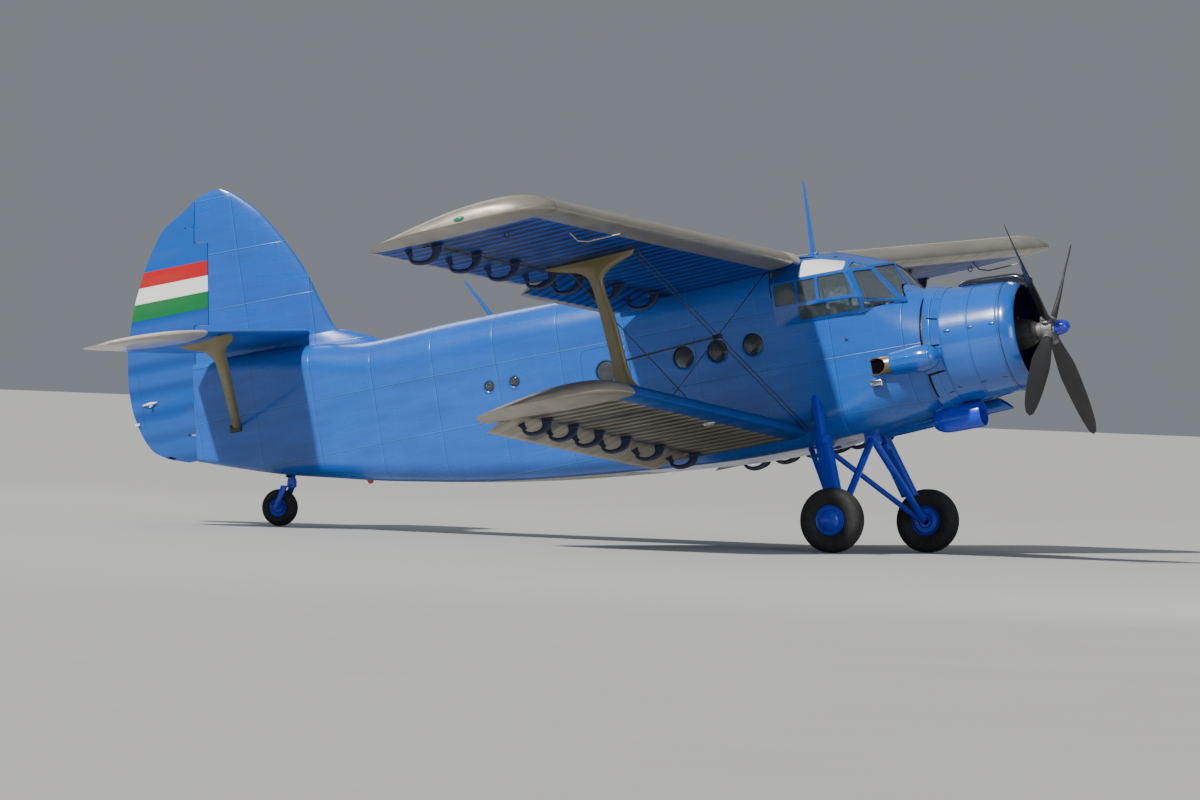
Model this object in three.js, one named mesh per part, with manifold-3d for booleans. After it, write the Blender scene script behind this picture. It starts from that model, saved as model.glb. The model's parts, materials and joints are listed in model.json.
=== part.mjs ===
// A single-engine utility biplane, parked on its tailwheel landing gear.
// Millimetres, +X forward, +Y port, +Z up, with the origin on the ground below the middle.
// The airframe is drawn level, its origin between the main wheels in flight, and then set down on its wheels.
import * as THREE from 'three';
import { ConvexGeometry } from 'three/addons/geometries/ConvexGeometry.js';
import { mergeVertices } from 'three/addons/utils/BufferGeometryUtils.js';
import Module from 'manifold-3d';

const wasm = await Module();
wasm.setup();

// Clearances
const fit = 0.3; // between pieces that touch
const running = 8; // round a moving surface

// Reach of the blocks that cut, past anything they cut
const far = 9000;

// Wheels and stance
const mainWheel = { radius: 400, width: 260, rim: 210, x: 0, y: 1680, z: 100, axle: 45 };
const tailWheel = { radius: 235, width: 200, rim: 110, x: -8040, z: 1610, axle: 22 };
const castor = { x: -7830, z: 1860 };

// Fuselage
const wall = 45; // skin and frames together
const halfWidth = 870;
const firewallX = 1150;
const cockpitRearX = -660;
const cabinRearX = -3800;
const tailConeX = -5000;
const bulkhead = 30;
const floorZ = 1390;
const cockpitFloorZ = 1780;

// Engine and propeller, on the thrust line
const thrustZ = 2065;
const engine = { rearX: firewallX, crankX: 1500, noseX: 2440, cylinderX: 1760, reach: 640, cylinders: 9 };
const cowl = { rearX: 1400, frontX: 2170, lipX: 2350, rearR: 730, frontR: 685, openR: 600, skin: 20 };
const propeller = {
  x: 2590, hub: 130, blades: 4, restAngle: 40, tipX: 2860,
  rows: [
    // distance out, chord, thickness, pitch
    { r: 90, chord: 110, thick: 96, pitch: 60 },
    { r: 330, chord: 165, thick: 62, pitch: 52 },
    { r: 760, chord: 262, thick: 36, pitch: 38 },
    { r: 1250, chord: 245, thick: 22, pitch: 28 },
    { r: 1580, chord: 165, thick: 13, pitch: 23 },
    { r: 1675, chord: 70, thick: 8, pitch: 22 },
  ],
};

// Wings: x and z are those of the leading edge where the dihedral line crosses y = 0
const upperWing = {
  name: 'upper', x: -250, z: 3332, dihedral: 3.4, incidence: 3, hingeX: -2034, hingeZ: -85, noseR: 270,
  slat: { from: 1000, to: 8400 },
  plan: [
    // y, leading edge, trailing edge, thickness scale
    { y: 400, lead: 0, trail: -2450, thick: 2450 },
    { y: 8450, lead: 0, trail: -2450, thick: 2350 },
    { y: 8700, lead: -30, trail: -2330, thick: 2150 },
    { y: 8930, lead: -190, trail: -2100, thick: 1700 },
    { y: 9050, lead: -450, trail: -1800, thick: 1150 },
    { y: 9090, lead: -800, trail: -1450, thick: 500 },
  ],
};
const lowerWing = {
  name: 'lower', x: -480, z: 1205, dihedral: 4.6, incidence: 1, hingeX: -1660, hingeZ: -78, noseR: 225,
  plan: [
    { y: 400, lead: 0, trail: -2000, thick: 2000 },
    { y: 6350, lead: 0, trail: -2000, thick: 1950 },
    { y: 6700, lead: -30, trail: -1910, thick: 1750 },
    { y: 6950, lead: -180, trail: -1720, thick: 1350 },
    { y: 7080, lead: -420, trail: -1440, thick: 850 },
    { y: 7125, lead: -700, trail: -1150, thick: 400 },
  ],
};
const flapDroop = 18; // all four flaps as they stand, from flush
const strutY = 4800;

// Fin, rudder and tailplane
const rudderHinge = { x: -9060, z: 2950, lean: 8.07, noseR: 95 };
const elevatorHinge = { x: -8400, z: 3740, noseR: 62 };

const deg = THREE.MathUtils.degToRad;
const colours = {
  blue: 0x1668d8, silver: 0xb4ab97, khaki: 0x8f8354, black: 0x1b1b1d, steel: 0x8c8f94,
  glass: 0xa9c3cf, grey: 0x6f7478, leather: 0x3a3f45,
};
const shine = { steel: 0.9, silver: 0.6, glass: 0 };

const airframe = new THREE.Group();

// Nose-up angle at which the main and tail tyres share one level
const wheelbase = { x: mainWheel.x - tailWheel.x, z: tailWheel.z - mainWheel.z };
const groundAngle = Math.atan2(wheelbase.z, wheelbase.x)
  + Math.asin((mainWheel.radius - tailWheel.radius) / Math.hypot(wheelbase.x, wheelbase.z));

function paint(colour) {
  const metalness = shine[colour] ?? 0.1;
  return new THREE.MeshStandardMaterial({ color: colours[colour], metalness, roughness: 0.4 });
}

// Solids from three.js geometry, and back
function toSolid(geometry) {
  const bare = geometry.clone();
  bare.deleteAttribute('normal');
  bare.deleteAttribute('uv');
  const merged = mergeVertices(bare, 1e-3);
  const vertProperties = new Float32Array(merged.attributes.position.array);
  const triVerts = new Uint32Array(merged.index.array);
  if (enclosed(vertProperties, triVerts) < 0) triVerts.reverse();
  return new wasm.Manifold(new wasm.Mesh({ numProp: 3, vertProperties, triVerts }));
}

function toGeometry(solid) {
  const mesh = solid.getMesh();
  const geometry = new THREE.BufferGeometry();
  geometry.setAttribute('position', new THREE.BufferAttribute(new Float32Array(mesh.vertProperties), 3));
  geometry.setIndex(Array.from(mesh.triVerts));
  return geometry;
}

function moved(solid, matrix) {
  return toSolid(toGeometry(solid).applyMatrix4(matrix));
}

function bothSides(solid) {
  return solid.add(moved(solid, new THREE.Matrix4().makeScale(1, -1, 1)));
}

function union(solids) {
  return solids.reduce((whole, solid) => whole.add(solid));
}

function add(name, solid, colour) {
  const mesh = new THREE.Mesh(toGeometry(solid), paint(colour));
  mesh.name = name;
  airframe.add(mesh);
}

// The port piece, and its mirror image on the starboard side
function addPair(name, solid, colour) {
  const sides = { port: 1, starboard: -1 };
  for (const [side, sign] of Object.entries(sides)) {
    const mesh = new THREE.Mesh(toGeometry(solid), paint(colour));
    mesh.name = `${name}_${side}`;
    mesh.scale.y = sign;
    airframe.add(mesh);
  }
}

// Basic shapes
function box([x0, x1], [y0, y1], [z0, z1]) {
  const geometry = new THREE.BoxGeometry(x1 - x0, y1 - y0, z1 - z0);
  return toSolid(geometry.translate((x0 + x1) / 2, (y0 + y1) / 2, (z0 + z1) / 2));
}

function rod(start, end, radius, sides = 12, endRadius = radius) {
  const from = new THREE.Vector3(...start);
  const along = new THREE.Vector3(...end).sub(from);
  const geometry = new THREE.CylinderGeometry(endRadius, radius, along.length(), sides);
  geometry.translate(0, along.length() / 2, 0);
  const turn = new THREE.Quaternion().setFromUnitVectors(new THREE.Vector3(0, 1, 0), along.normalize());
  return toSolid(geometry.applyQuaternion(turn).translate(from.x, from.y, from.z));
}

function outline(points) {
  return new THREE.Shape(points.map(([a, b]) => new THREE.Vector2(a, b)));
}

function extruded(points, depth) {
  return new THREE.ExtrudeGeometry(outline(points), { depth, bevelEnabled: false, steps: 1 });
}

// Side outline in (x, z), from y0 to y1
function sidePlate(points, y0, y1) {
  return toSolid(extruded(points, y1 - y0).rotateX(Math.PI / 2).translate(0, y1, 0));
}

// Front outline in (y, z), from x0 to x1
function frontPlate(points, x0, x1) {
  const turn = new THREE.Matrix4().set(0, 0, 1, 0, 1, 0, 0, 0, 0, 1, 0, 0, 0, 0, 0, 1);
  return toSolid(extruded(points, x1 - x0).applyMatrix4(turn).translate(x0, 0, 0));
}

// Plan outline in (x, y), from z0 to z1
function planPlate(points, z0, z1) {
  return toSolid(extruded(points, z1 - z0).translate(0, 0, z0));
}

// Closed profile of [radius, distance] turned about an axis through centre
function turned(profile, centre, axis, segments = 32) {
  const points = profile.map(([r, t]) => new THREE.Vector2(r, t));
  const geometry = new THREE.LatheGeometry(points, segments);
  const upright = new THREE.Vector3(0, 1, 0);
  const turn = new THREE.Quaternion().setFromUnitVectors(upright, new THREE.Vector3(...axis));
  geometry.applyQuaternion(turn).translate(...centre);
  return toSolid(geometry);
}

function arc(centreA, centreB, radius, from, to, steps) {
  return Array.from({ length: steps + 1 }, (_, i) => {
    const angle = deg(from + ((to - from) * i) / steps);
    return [centreA + radius * Math.cos(angle), centreB + radius * Math.sin(angle)];
  });
}

// Skin through closed rings of equal length; plane names the two axes that the end caps lie in
function loft(rings, plane) {
  const count = rings[0].length;
  const index = [];
  for (let r = 0; r + 1 < rings.length; r += 1) {
    for (let i = 0; i < count; i += 1) {
      const a = r * count + i;
      const b = r * count + ((i + 1) % count);
      index.push(a, b, b + count, a, b + count, a + count);
    }
  }
  const [u, v] = plane;
  const flat = (ring) => ring.map((p) => new THREE.Vector2(p[u], p[v]));
  const turn = THREE.ShapeUtils.area(flat(rings[0])) > 0 ? 1 : -1;
  const capEnd = (ring, start, outward) => {
    for (const [a, b, c] of THREE.ShapeUtils.triangulateShape(flat(ring), [])) {
      if (outward > 0) index.push(start + a, start + b, start + c);
      else index.push(start + a, start + c, start + b);
    }
  };
  capEnd(rings[0], 0, -turn);
  capEnd(rings.at(-1), (rings.length - 1) * count, turn);
  const positions = rings.flat().flatMap((p) => [p.x, p.y, p.z]);
  const geometry = new THREE.BufferGeometry();
  geometry.setAttribute('position', new THREE.Float32BufferAttribute(positions, 3));
  geometry.setIndex(index);
  return toSolid(geometry);
}

// Signed volume of a triangle list, times six
function enclosed(positions, index) {
  const corner = (i) => new THREE.Vector3().fromArray(positions, index[i] * 3);
  let sum = 0;
  for (let i = 0; i < index.length; i += 3) sum += corner(i).dot(corner(i + 1).cross(corner(i + 2)));
  return sum;
}

// Fuselage: a rounded-rectangle section at each station
const stations = [
  // x, bottom, top, half width, top corner radius, bottom corner radius
  { x: 1150, bottom: 1345, top: 2805, half: 730, upper: 715, lower: 715 },
  { x: 880, bottom: 1280, top: 2915, half: 765, upper: 640, lower: 600 },
  { x: 300, bottom: 1195, top: 3380, half: 835, upper: 500, lower: 420 },
  { x: -200, bottom: 1155, top: 3500, half: 862, upper: 440, lower: 320 },
  { x: -660, bottom: 1108, top: 3545, half: 870, upper: 420, lower: 270 },
  { x: -1730, bottom: 1121, top: 3525, half: 870, upper: 420, lower: 260 },
  { x: -3800, bottom: 1285, top: 3492, half: 868, upper: 430, lower: 260 },
  { x: -5000, bottom: 1432, top: 3495, half: 760, upper: 440, lower: 280 },
  { x: -6310, bottom: 1660, top: 3458, half: 585, upper: 400, lower: 260 },
  { x: -7130, bottom: 1839, top: 3560, half: 440, upper: 330, lower: 220 },
  { x: -7930, bottom: 2026, top: 3620, half: 290, upper: 230, lower: 160 },
  { x: -9060, bottom: 2370, top: 3620, half: 62, upper: 50, lower: 50 },
];

function stationAt(x) {
  const rear = stations.findIndex((station) => station.x <= x);
  const low = stations[rear];
  const high = stations[Math.max(rear - 1, 0)];
  if (low === high) return low;
  const share = (x - low.x) / (high.x - low.x);
  const between = Object.keys(low).map((key) => [key, low[key] + share * (high[key] - low[key])]);
  return Object.fromEntries(between);
}

function fuselageRing({ x, bottom, top, half, upper, lower }, inset) {
  const edge = half - inset;
  const [upperR, lowerR] = [upper - inset, lower - inset].map((r) => Math.max(r, 12));
  const corners = [
    arc(edge - lowerR, bottom + inset + lowerR, lowerR, -90, 0, 4),
    arc(edge - upperR, top - inset - upperR, upperR, 0, 90, 4),
    arc(upperR - edge, top - inset - upperR, upperR, 90, 180, 4),
    arc(lowerR - edge, bottom + inset + lowerR, lowerR, 180, 270, 4),
  ];
  return corners.flat().map(([y, z]) => new THREE.Vector3(x, y, z));
}

function fuselage(frontX, rearX, inset = 0) {
  const inside = stations.filter((station) => station.x < frontX && station.x > rearX);
  const cuts = [stationAt(frontX), ...inside, stationAt(rearX)];
  return loft(cuts.map((station) => fuselageRing(station, inset)), ['y', 'z']);
}

// Everything that butts on the fuselage is cut by this, a touch larger than the skin
const grownFuselage = bothSides(fuselage(firewallX, -9060, -fit));
const stepForward = new THREE.Matrix4().makeTranslation(fit, 0, 0);
const fuselageClearance = grownFuselage.add(moved(grownFuselage, stepForward));

// Cockpit canopy: flat panes between these corners, mirrored to both sides
const canopyCorners = [
  // x, y, z
  [-640, 0, 3550], [-640, 600, 3470], [-30, 0, 3500], [-30, 580, 3415], [420, 0, 3356],
  [330, 600, 3318], [690, 0, 3250], [610, 600, 3205], [-640, 885, 3170], [20, 950, 3170],
  [390, 930, 3165], [-640, 890, 2860], [0, 980, 2860], [530, 950, 2816], [-640, 868, 2630],
  [-300, 875, 2630], [500, 850, 2630], [1000, 560, 2680],
];
const canopyHull = new ConvexGeometry(
  canopyCorners.flatMap(([x, y, z]) => [new THREE.Vector3(x, y, z), new THREE.Vector3(x, -y, z)]),
);

// Planes of the canopy's panes, pointing out
function panePlanes() {
  const { position } = canopyHull.attributes;
  const planes = [];
  for (let i = 0; i < position.count; i += 3) {
    const corners = [i, i + 1, i + 2].map((k) => new THREE.Vector3().fromBufferAttribute(position, k));
    const plane = new THREE.Plane().setFromCoplanarPoints(...corners);
    if (!planes.some((other) => other.normal.dot(plane.normal) > 0.99999)) planes.push(plane);
  }
  return planes;
}

// The canopy with every pane moved in by inset, and its rear and underside moved out by openBy
function canopySolid(inset, openBy = 0) {
  const up = new THREE.Vector3(0, 0, 1);
  return panePlanes().reduce((solid, { normal, constant }) => {
    const isOpen = openBy > 0 && (normal.x < -0.9 || normal.z < -0.9);
    const distance = -constant - (isOpen ? -openBy : inset);
    const beyond = new THREE.BoxGeometry(far, far, far).translate(0, 0, far / 2 + distance);
    beyond.applyQuaternion(new THREE.Quaternion().setFromUnitVectors(up, normal));
    return solid.subtract(toSolid(beyond));
  }, box([-1500, 1500], [-1200, 1200], [2400, 3800]));
}

function buildCockpit() {
  const frameWall = 35;
  const paneWall = 8;
  const open = 100; // past the cage's open rear and underside
  const across = [-1200, 1200];
  const roof = [3000, 3700];
  const clearance = canopySolid(-fit);
  const outer = fuselage(firewallX, cockpitRearX + fit);
  const inner = fuselage(firewallX - bulkhead, cockpitRearX + fit + bulkhead, wall);
  const doorway = box([cockpitRearX - 50, cockpitRearX + 80], [-330, 330], [floorZ + 20, 2700]);
  const floor = box(
    [cockpitRearX + 10, firewallX - 10], [-850, 850], [cockpitFloorZ - bulkhead, cockpitFloorZ],
  );
  const shell = outer.subtract(inner).subtract(doorway).add(floor.intersect(outer));
  const hood = box([cockpitRearX, 560], across, roof);
  add('nose_shell', shell.subtract(clearance).subtract(hood), 'blue');

  // Panes cut through both sides, as outlines in (x, z)
  const sidePanes = [
    [[20, 2870], [440, 2870], [360, 3140], [20, 3140]],
    [[-40, 2870], [-40, 3140], [-250, 3135], [-250, 2875]],
    [[-310, 2880], [-310, 3130], [-580, 3125], [-580, 2885]],
    [[-290, 2680], [470, 2680], [480, 2800], [-290, 2815]],
    [[590, 2780], [880, 2740], [670, 3120], [480, 3120]],
  ];
  const roofPanes = [-1, 1].map((side) => planPlate(
    [[-170, side * 90], [370, side * 90], [340, side * 470], [-170, side * 470]], ...roof,
  ));
  const windscreens = [-1, 1].map((side) => frontPlate(
    [[side * 30, 2900], [side * 530, 2760], [side * 540, 3180], [side * 30, 3190]], 560, 1200,
  ));
  const panes = sidePanes.map((points) => sidePlate(points, ...across));
  const mast = rod([-340, 0, 3500], [-324, 0, 4445], 22, 8, 12);
  const cage = canopySolid(0).subtract(canopySolid(frameWall, open)).add(mast)
    .subtract(union([...panes, ...roofPanes, ...windscreens]));
  add('canopy_frame', cage, 'blue');
  const glass = canopySolid(frameWall + fit).subtract(canopySolid(frameWall + paneWall, open));
  const rear = box([-far, cockpitRearX + 25], across, [2000, 4000]);
  add('canopy_glass', glass.subtract(rear), 'glass');

  const panel = box([640, 700], [-560, 560], [2260, 2600]);
  const pedestal = box([600, 740], [-160, 160], [cockpitFloorZ + fit, 2300]);
  add('instrument_panel', panel.add(pedestal), 'grey');
  const pan = box([-260, 200], [210, 640], [2110, 2230]);
  const back = sidePlate([[-260, 2150], [-150, 2150], [-230, 2900], [-320, 2900]], 210, 640);
  const post = box([-130, 90], [330, 520], [cockpitFloorZ + fit, 2140]);
  addPair('pilot_seat', union([pan, back, post]), 'leather');
}

// Cabin: side windows, doorway to port and emergency hatch to starboard
const windows = { z: 2480, radius: 150, x: [-987, -1467, -1926] };
const cargoDoor = { frontX: -2190, rearX: -3720, bottom: 1470, top: 2930, gap: 7, windowX: -3430 };
const passengerDoor = { frontX: -2320, rearX: -3130, bottom: 1500, top: 2900, gap: 7, windowX: -2725 };
const hatch = { x: -2974, half: 325, bottom: 2060, top: 2790 };
const doorPin = 8; // from the skin's face
const portSkin = [700, 1000]; // across one side's skin
const starboardSkin = [-1000, -700];
const throughBoth = [-1000, 1000];
const porthole = { z: 2570, radius: 80, x: [-4234, -4596] };

function roundedRectangle(x0, x1, z0, z1, radius) {
  return [
    ...arc(x1 - radius, z0 + radius, radius, -90, 0, 3),
    ...arc(x1 - radius, z1 - radius, radius, 0, 90, 3),
    ...arc(x0 + radius, z1 - radius, radius, 90, 180, 3),
    ...arc(x0 + radius, z0 + radius, radius, 180, 270, 3),
  ];
}

function sideHole(x, z, radius, [y0, y1]) {
  const facets = 16;
  return sidePlate(arc(x, z, radius, 0, 360 - 360 / facets, facets - 1), y0, y1);
}

function doorPanel({ frontX, rearX, bottom, top }, grow) {
  return roundedRectangle(rearX - grow, frontX + grow, bottom - grow, top + grow, 70);
}

function buildCabin() {
  const outer = fuselage(cockpitRearX, tailConeX);
  const cabin = fuselage(cockpitRearX, cabinRearX, wall);
  const rearBay = fuselage(cabinRearX - bulkhead, tailConeX, wall);
  const doorway = box([cabinRearX - 100, cabinRearX + 100], [-260, 260], [floorZ + 40, 2950]);
  const hatchOutline = (grow) => roundedRectangle(
    hatch.x - hatch.half - grow, hatch.x + hatch.half + grow, hatch.bottom - grow, hatch.top + grow, 110,
  );
  const holes = windows.x.map((x) => sideHole(x, windows.z, windows.radius, throughBoth));
  const portholes = porthole.x.map((x) => sideHole(x, porthole.z, porthole.radius, throughBoth));
  const hatchHole = sidePlate(hatchOutline(fit), ...starboardSkin);
  const doorHole = sidePlate(doorPanel(cargoDoor, cargoDoor.gap), ...portSkin);
  const hinges = doorHinges(cargoDoor, cargoDoor.rearX - cargoDoor.gap / 2, halfWidth + doorPin);
  const aerial = rod([-4732, 0, 3470], [-5049, 0, 4016], 22, 8, 12);
  const shell = outer.subtract(union([cabin, rearBay, doorway, ...holes, ...portholes, hatchHole, doorHole]))
    .subtract(union(hinges.frameRoom));
  add('cabin_shell', union([shell, aerial, ...hinges.fixed]).subtract(canopySolid(-fit)), 'blue');

  const skin = fuselage(cockpitRearX, tailConeX).subtract(fuselage(cockpitRearX, tailConeX, wall));
  const hatchPanel = skin.intersect(sidePlate(hatchOutline(0), ...starboardSkin));
  const hatchWindow = sideHole(hatch.x, windows.z, windows.radius, starboardSkin);
  add('emergency_hatch', hatchPanel.subtract(hatchWindow), 'blue');

  // The passenger door fills the front part of the cargo door and opens inwards
  const inset = sidePlate(doorPanel(passengerDoor, passengerDoor.gap), ...portSkin);
  const smallHinges = doorHinges(
    passengerDoor, passengerDoor.frontX + passengerDoor.gap / 2, halfWidth - wall - doorPin,
  );
  const rearWindow = sideHole(cargoDoor.windowX, windows.z, windows.radius, portSkin);
  const panel = skin.intersect(sidePlate(doorPanel(cargoDoor, 0), ...portSkin))
    .subtract(union([inset, rearWindow, ...hinges.doorRoom, ...smallHinges.frameRoom]));
  add('cargo_door', union([panel, ...hinges.moving, ...smallHinges.fixed]), 'blue');
  const doorWindow = sideHole(passengerDoor.windowX, windows.z, windows.radius, portSkin);
  const door = skin.intersect(sidePlate(doorPanel(passengerDoor, 0), ...portSkin))
    .subtract(union([doorWindow, ...smallHinges.doorRoom]));
  add('passenger_door', union([door, ...smallHinges.moving]), 'blue');

  const floor = box([cabinRearX + fit, cockpitRearX - fit], [-860, 860], [floorZ - bulkhead, floorZ]);
  add('cabin_floor', floor.intersect(fuselage(cockpitRearX - fit, cabinRearX + fit, wall + fit)), 'grey');
}

// Knuckles on a vertical pin at a door's edge: two outer ones fixed and a middle one on the door
function doorHinges({ bottom, top }, pinX, pinY) {
  const knuckle = (z, height, radius = 14) => rod([pinX, pinY, z], [pinX, pinY, z + height], radius, 10);
  const length = 45;
  const room = 8;
  const roomR = 20;
  const heights = [bottom + 150, top - 285];
  return {
    fixed: heights.flatMap((z) => [knuckle(z, length), knuckle(z + 2 * length + 2 * fit, length)]),
    moving: heights.map((z) => knuckle(z + length + fit, length)),
    doorRoom: heights.flatMap((z) => [
      knuckle(z - room, length + room + fit, roomR),
      knuckle(z + 2 * length + fit, length + room + fit, roomR),
    ]),
    frameRoom: heights.map((z) => knuckle(z + length, length + 2 * fit, roomR)),
  };
}

// Radial engine: crankcase, reduction gear and cylinders with their rocker boxes
function engineSolid(grow = 0) {
  const { rearX, crankX, noseX, cylinderX, reach, cylinders } = engine;
  const body = turned([
    [0, rearX + fit], [250 + grow, rearX + fit], [250 + grow, crankX], [330 + grow, crankX + 60],
    [330 + grow, 2000], [230 + grow, 2130], [150 + grow, 2380], [110, noseX], [0, noseX],
  ], [0, 0, thrustZ], [1, 0, 0], 24);
  const barrels = Array.from({ length: cylinders }, (_, i) => {
    const angle = deg(90 + (360 * i) / cylinders);
    const [y, z] = [Math.cos(angle), Math.sin(angle)];
    const at = (r, x = cylinderX) => [x, y * r, thrustZ + z * r];
    return rod(at(280), at(reach + grow), 88 + grow, 10);
  });
  return union([body, ...barrels]);
}

function buildNose() {
  add('engine', engineSolid(), 'steel');
  const { rearX, frontX, lipX, rearR, frontR, openR, skin } = cowl;
  const centre = [0, 0, thrustZ];
  const axis = [1, 0, 0];
  const gill = { rearX: 1170, radius: rearR + 55, count: 14 };
  const cowlFacets = 28;
  const ring = { innerR: 630, outerR: 703, rearX: 1720, frontX: 1790 }; // seats the cowling on the cylinders
  const barrel = turned([
    [gill.radius - 12, gill.rearX], [gill.radius, gill.rearX], [rearR, rearX],
    [frontR + 14, 2000], [frontR, frontX], [frontR - skin, frontX], [rearR - skin - 5, 1700],
    [rearR - skin, rearX - 40], [gill.radius - 12, gill.rearX],
  ], centre, axis, cowlFacets);
  const seat = turned([
    [ring.innerR, ring.rearX], [ring.outerR, ring.rearX], [ring.outerR, ring.frontX],
    [ring.innerR, ring.frontX], [ring.innerR, ring.rearX],
  ], centre, axis, cowlFacets);
  const slots = Array.from({ length: gill.count }, (_, i) => {
    const angle = deg(((i + 0.5) * 360) / gill.count);
    const slot = new THREE.BoxGeometry(190, 200, 14).translate(gill.rearX + 80, gill.radius, 0);
    slot.rotateX(angle).translate(0, 0, thrustZ);
    return toSolid(slot);
  });
  add('cowling', barrel.subtract(union(slots)).add(seat).subtract(engineSolid(fit)), 'blue');
  add('cowl_lip', turned([
    [frontR - skin, frontX + fit], [frontR, frontX + fit], [frontR - 12, 2240], [frontR - 45, 2310],
    [openR + 12, lipX], [openR - 14, lipX - 20], [openR - 10, 2260], [frontR - skin, frontX + fit],
  ], centre, axis, cowlFacets), 'blue');

  const cowlOutside = turned([
    [0, gill.rearX - fit], [gill.radius + fit, gill.rearX - fit], [rearR + fit, rearX],
    [frontR + 14 + fit, 2000], [frontR + fit, frontX], [frontR - 12 + fit, 2240],
    [frontR - 45 + fit, 2310], [openR + 12, lipX + fit], [0, lipX + fit],
  ], centre, axis, cowlFacets);
  const scoop = sidePlate([
    [1440, 2700], [2400, 2640], [2411, 2758], [2340, 2815], [2250, 2828], [1700, 2848], [1487, 2822],
  ], -170, 170);
  const mouth = box([2290, 2500], [-135, 135], [2600, 2790]);
  add('carburettor_intake', scoop.subtract(cowlOutside).subtract(mouth), 'blue');

  const skinOutside = union([fuselageClearance, cowlOutside]);
  const stack = turned([
    [0, 1400], [60, 1390], [140, 1320], [165, 1180], [150, 1000], [115, 800], [115, 624], [95, 624],
    [95, 760], [0, 760],
  ], [0, -815, 1930], axis, 16);
  add('exhaust_pipe', stack.subtract(skinOutside), 'blue');
  const cooler = turned([
    [0, 925], [60, 925], [120, 990], [165, 1150], [165, 1560], [150, 1600], [130, 1600], [130, 1380],
    [0, 1380],
  ], [0, -100, 1180], axis, 20);
  const coolerNeck = box([1000, 1330], [-190, -10], [1250, 1420]);
  add('oil_cooler', union([cooler, coolerNeck]).subtract(skinOutside), 'blue');
  const duct = rod([150, 300, 1205], [1900, 300, 1290], 88, 14);
  const bore = rod([1300, 300, 1261], [2000, 300, 1295], 72, 14);
  const scarf = sidePlate([[1640, 1400], [1920, 1150], [2100, 1150], [2100, 1400]], 100, 500);
  add('belly_duct', duct.subtract(bore).subtract(scarf).subtract(skinOutside), 'blue');
}

// Wings: aerofoil sections joined through a table of stations, in a frame at the root's leading edge
const aerofoil = [
  // share of chord, upper and lower height as shares of chord
  { at: 0, upper: 0, lower: 0 },
  { at: 0.02, upper: 0.04, lower: -0.013 },
  { at: 0.07, upper: 0.076, lower: -0.018 },
  { at: 0.15, upper: 0.1, lower: -0.021 },
  { at: 0.3, upper: 0.112, lower: -0.022 },
  { at: 0.45, upper: 0.105, lower: -0.021 },
  { at: 0.6, upper: 0.085, lower: -0.018 },
  { at: 0.8, upper: 0.047, lower: -0.01 },
  { at: 1, upper: 0.004, lower: -0.003 },
];

function aerofoilRing(y, leadX, trailX, thick) {
  const chord = leadX - trailX;
  const point = (share, height) => new THREE.Vector3(leadX - share * chord, y, height * thick);
  const upper = aerofoil.map((row) => point(row.at, row.upper));
  const lower = aerofoil.slice(1).reverse().map((row) => point(row.at, row.lower));
  return [...upper, ...lower];
}

const surfaces = [
  // wing, name, inner and outer end along the span, droop as it stands, hinge arms along the span
  { wing: 'upper', name: 'flap_upper', from: 1010, to: 4020, droop: flapDroop, arms: [1500, 2680, 3860] },
  { wing: 'upper', name: 'aileron', from: 4030, to: 8430, droop: 0, arms: [4700, 5850, 7000, 8180] },
  {
    wing: 'lower', name: 'flap_lower', from: 1010, to: 6200, droop: flapDroop,
    arms: [1250, 2350, 3420, 4250, 5050, 5850],
  },
];

function wingMatrix({ x, z, dihedral, incidence }) {
  const turn = new THREE.Matrix4().makeRotationX(deg(dihedral));
  turn.multiply(new THREE.Matrix4().makeRotationY(-deg(incidence)));
  return new THREE.Matrix4().makeTranslation(x, 0, z).multiply(turn);
}

// Nose of a hinged surface: an arc about its hinge, then straight back past the trailing edge
function noseOutline({ hingeX, hingeZ, noseR }, grow) {
  return [...arc(hingeX, hingeZ, noseR + grow, -20, 90, 9), [-far, 400], [-far, -500], [hingeX, -500]];
}

const halfArm = 14;
const lugThick = 16;

// Curved arm from the wing's lower side down and back to the hinge, and the lug beside it
function hingeArm({ hingeX, hingeZ, noseR }, y) {
  const reach = noseR + 150;
  const arm = [
    [hingeX + reach, -20], [hingeX + reach - 30, hingeZ - 60], [hingeX + noseR - 40, hingeZ - 160],
    [hingeX + noseR - 150, hingeZ - 165], [hingeX + 20, hingeZ - 80], [hingeX - 26, hingeZ - 22],
    [hingeX - 22, hingeZ + 22], [hingeX + 22, hingeZ + 22], [hingeX + 60, hingeZ - 40],
    [hingeX + noseR - 140, hingeZ - 118], [hingeX + noseR - 60, hingeZ - 126],
    [hingeX + noseR + 30, hingeZ - 72], [hingeX + reach - 90, hingeZ - 10], [hingeX + reach - 110, -20],
  ];
  return sidePlate(arm, y - halfArm, y + halfArm);
}

function hingeLug({ hingeX, hingeZ }, y) {
  const lug = [
    [hingeX - 120, 30], [hingeX - 24, hingeZ - 14], [hingeX, hingeZ - 24], [hingeX + 24, hingeZ - 14],
    [hingeX + 70, 30],
  ];
  return sidePlate(lug, y + halfArm + fit, y + halfArm + lugThick);
}

// The whole wing in its own frame, its thickness scaled
function wingSolid({ plan }, growth = 1) {
  const rings = plan.map(({ y, lead, trail, thick }) => aerofoilRing(y, lead, trail, thick * growth));
  return loft(rings, ['x', 'z']);
}

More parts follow.
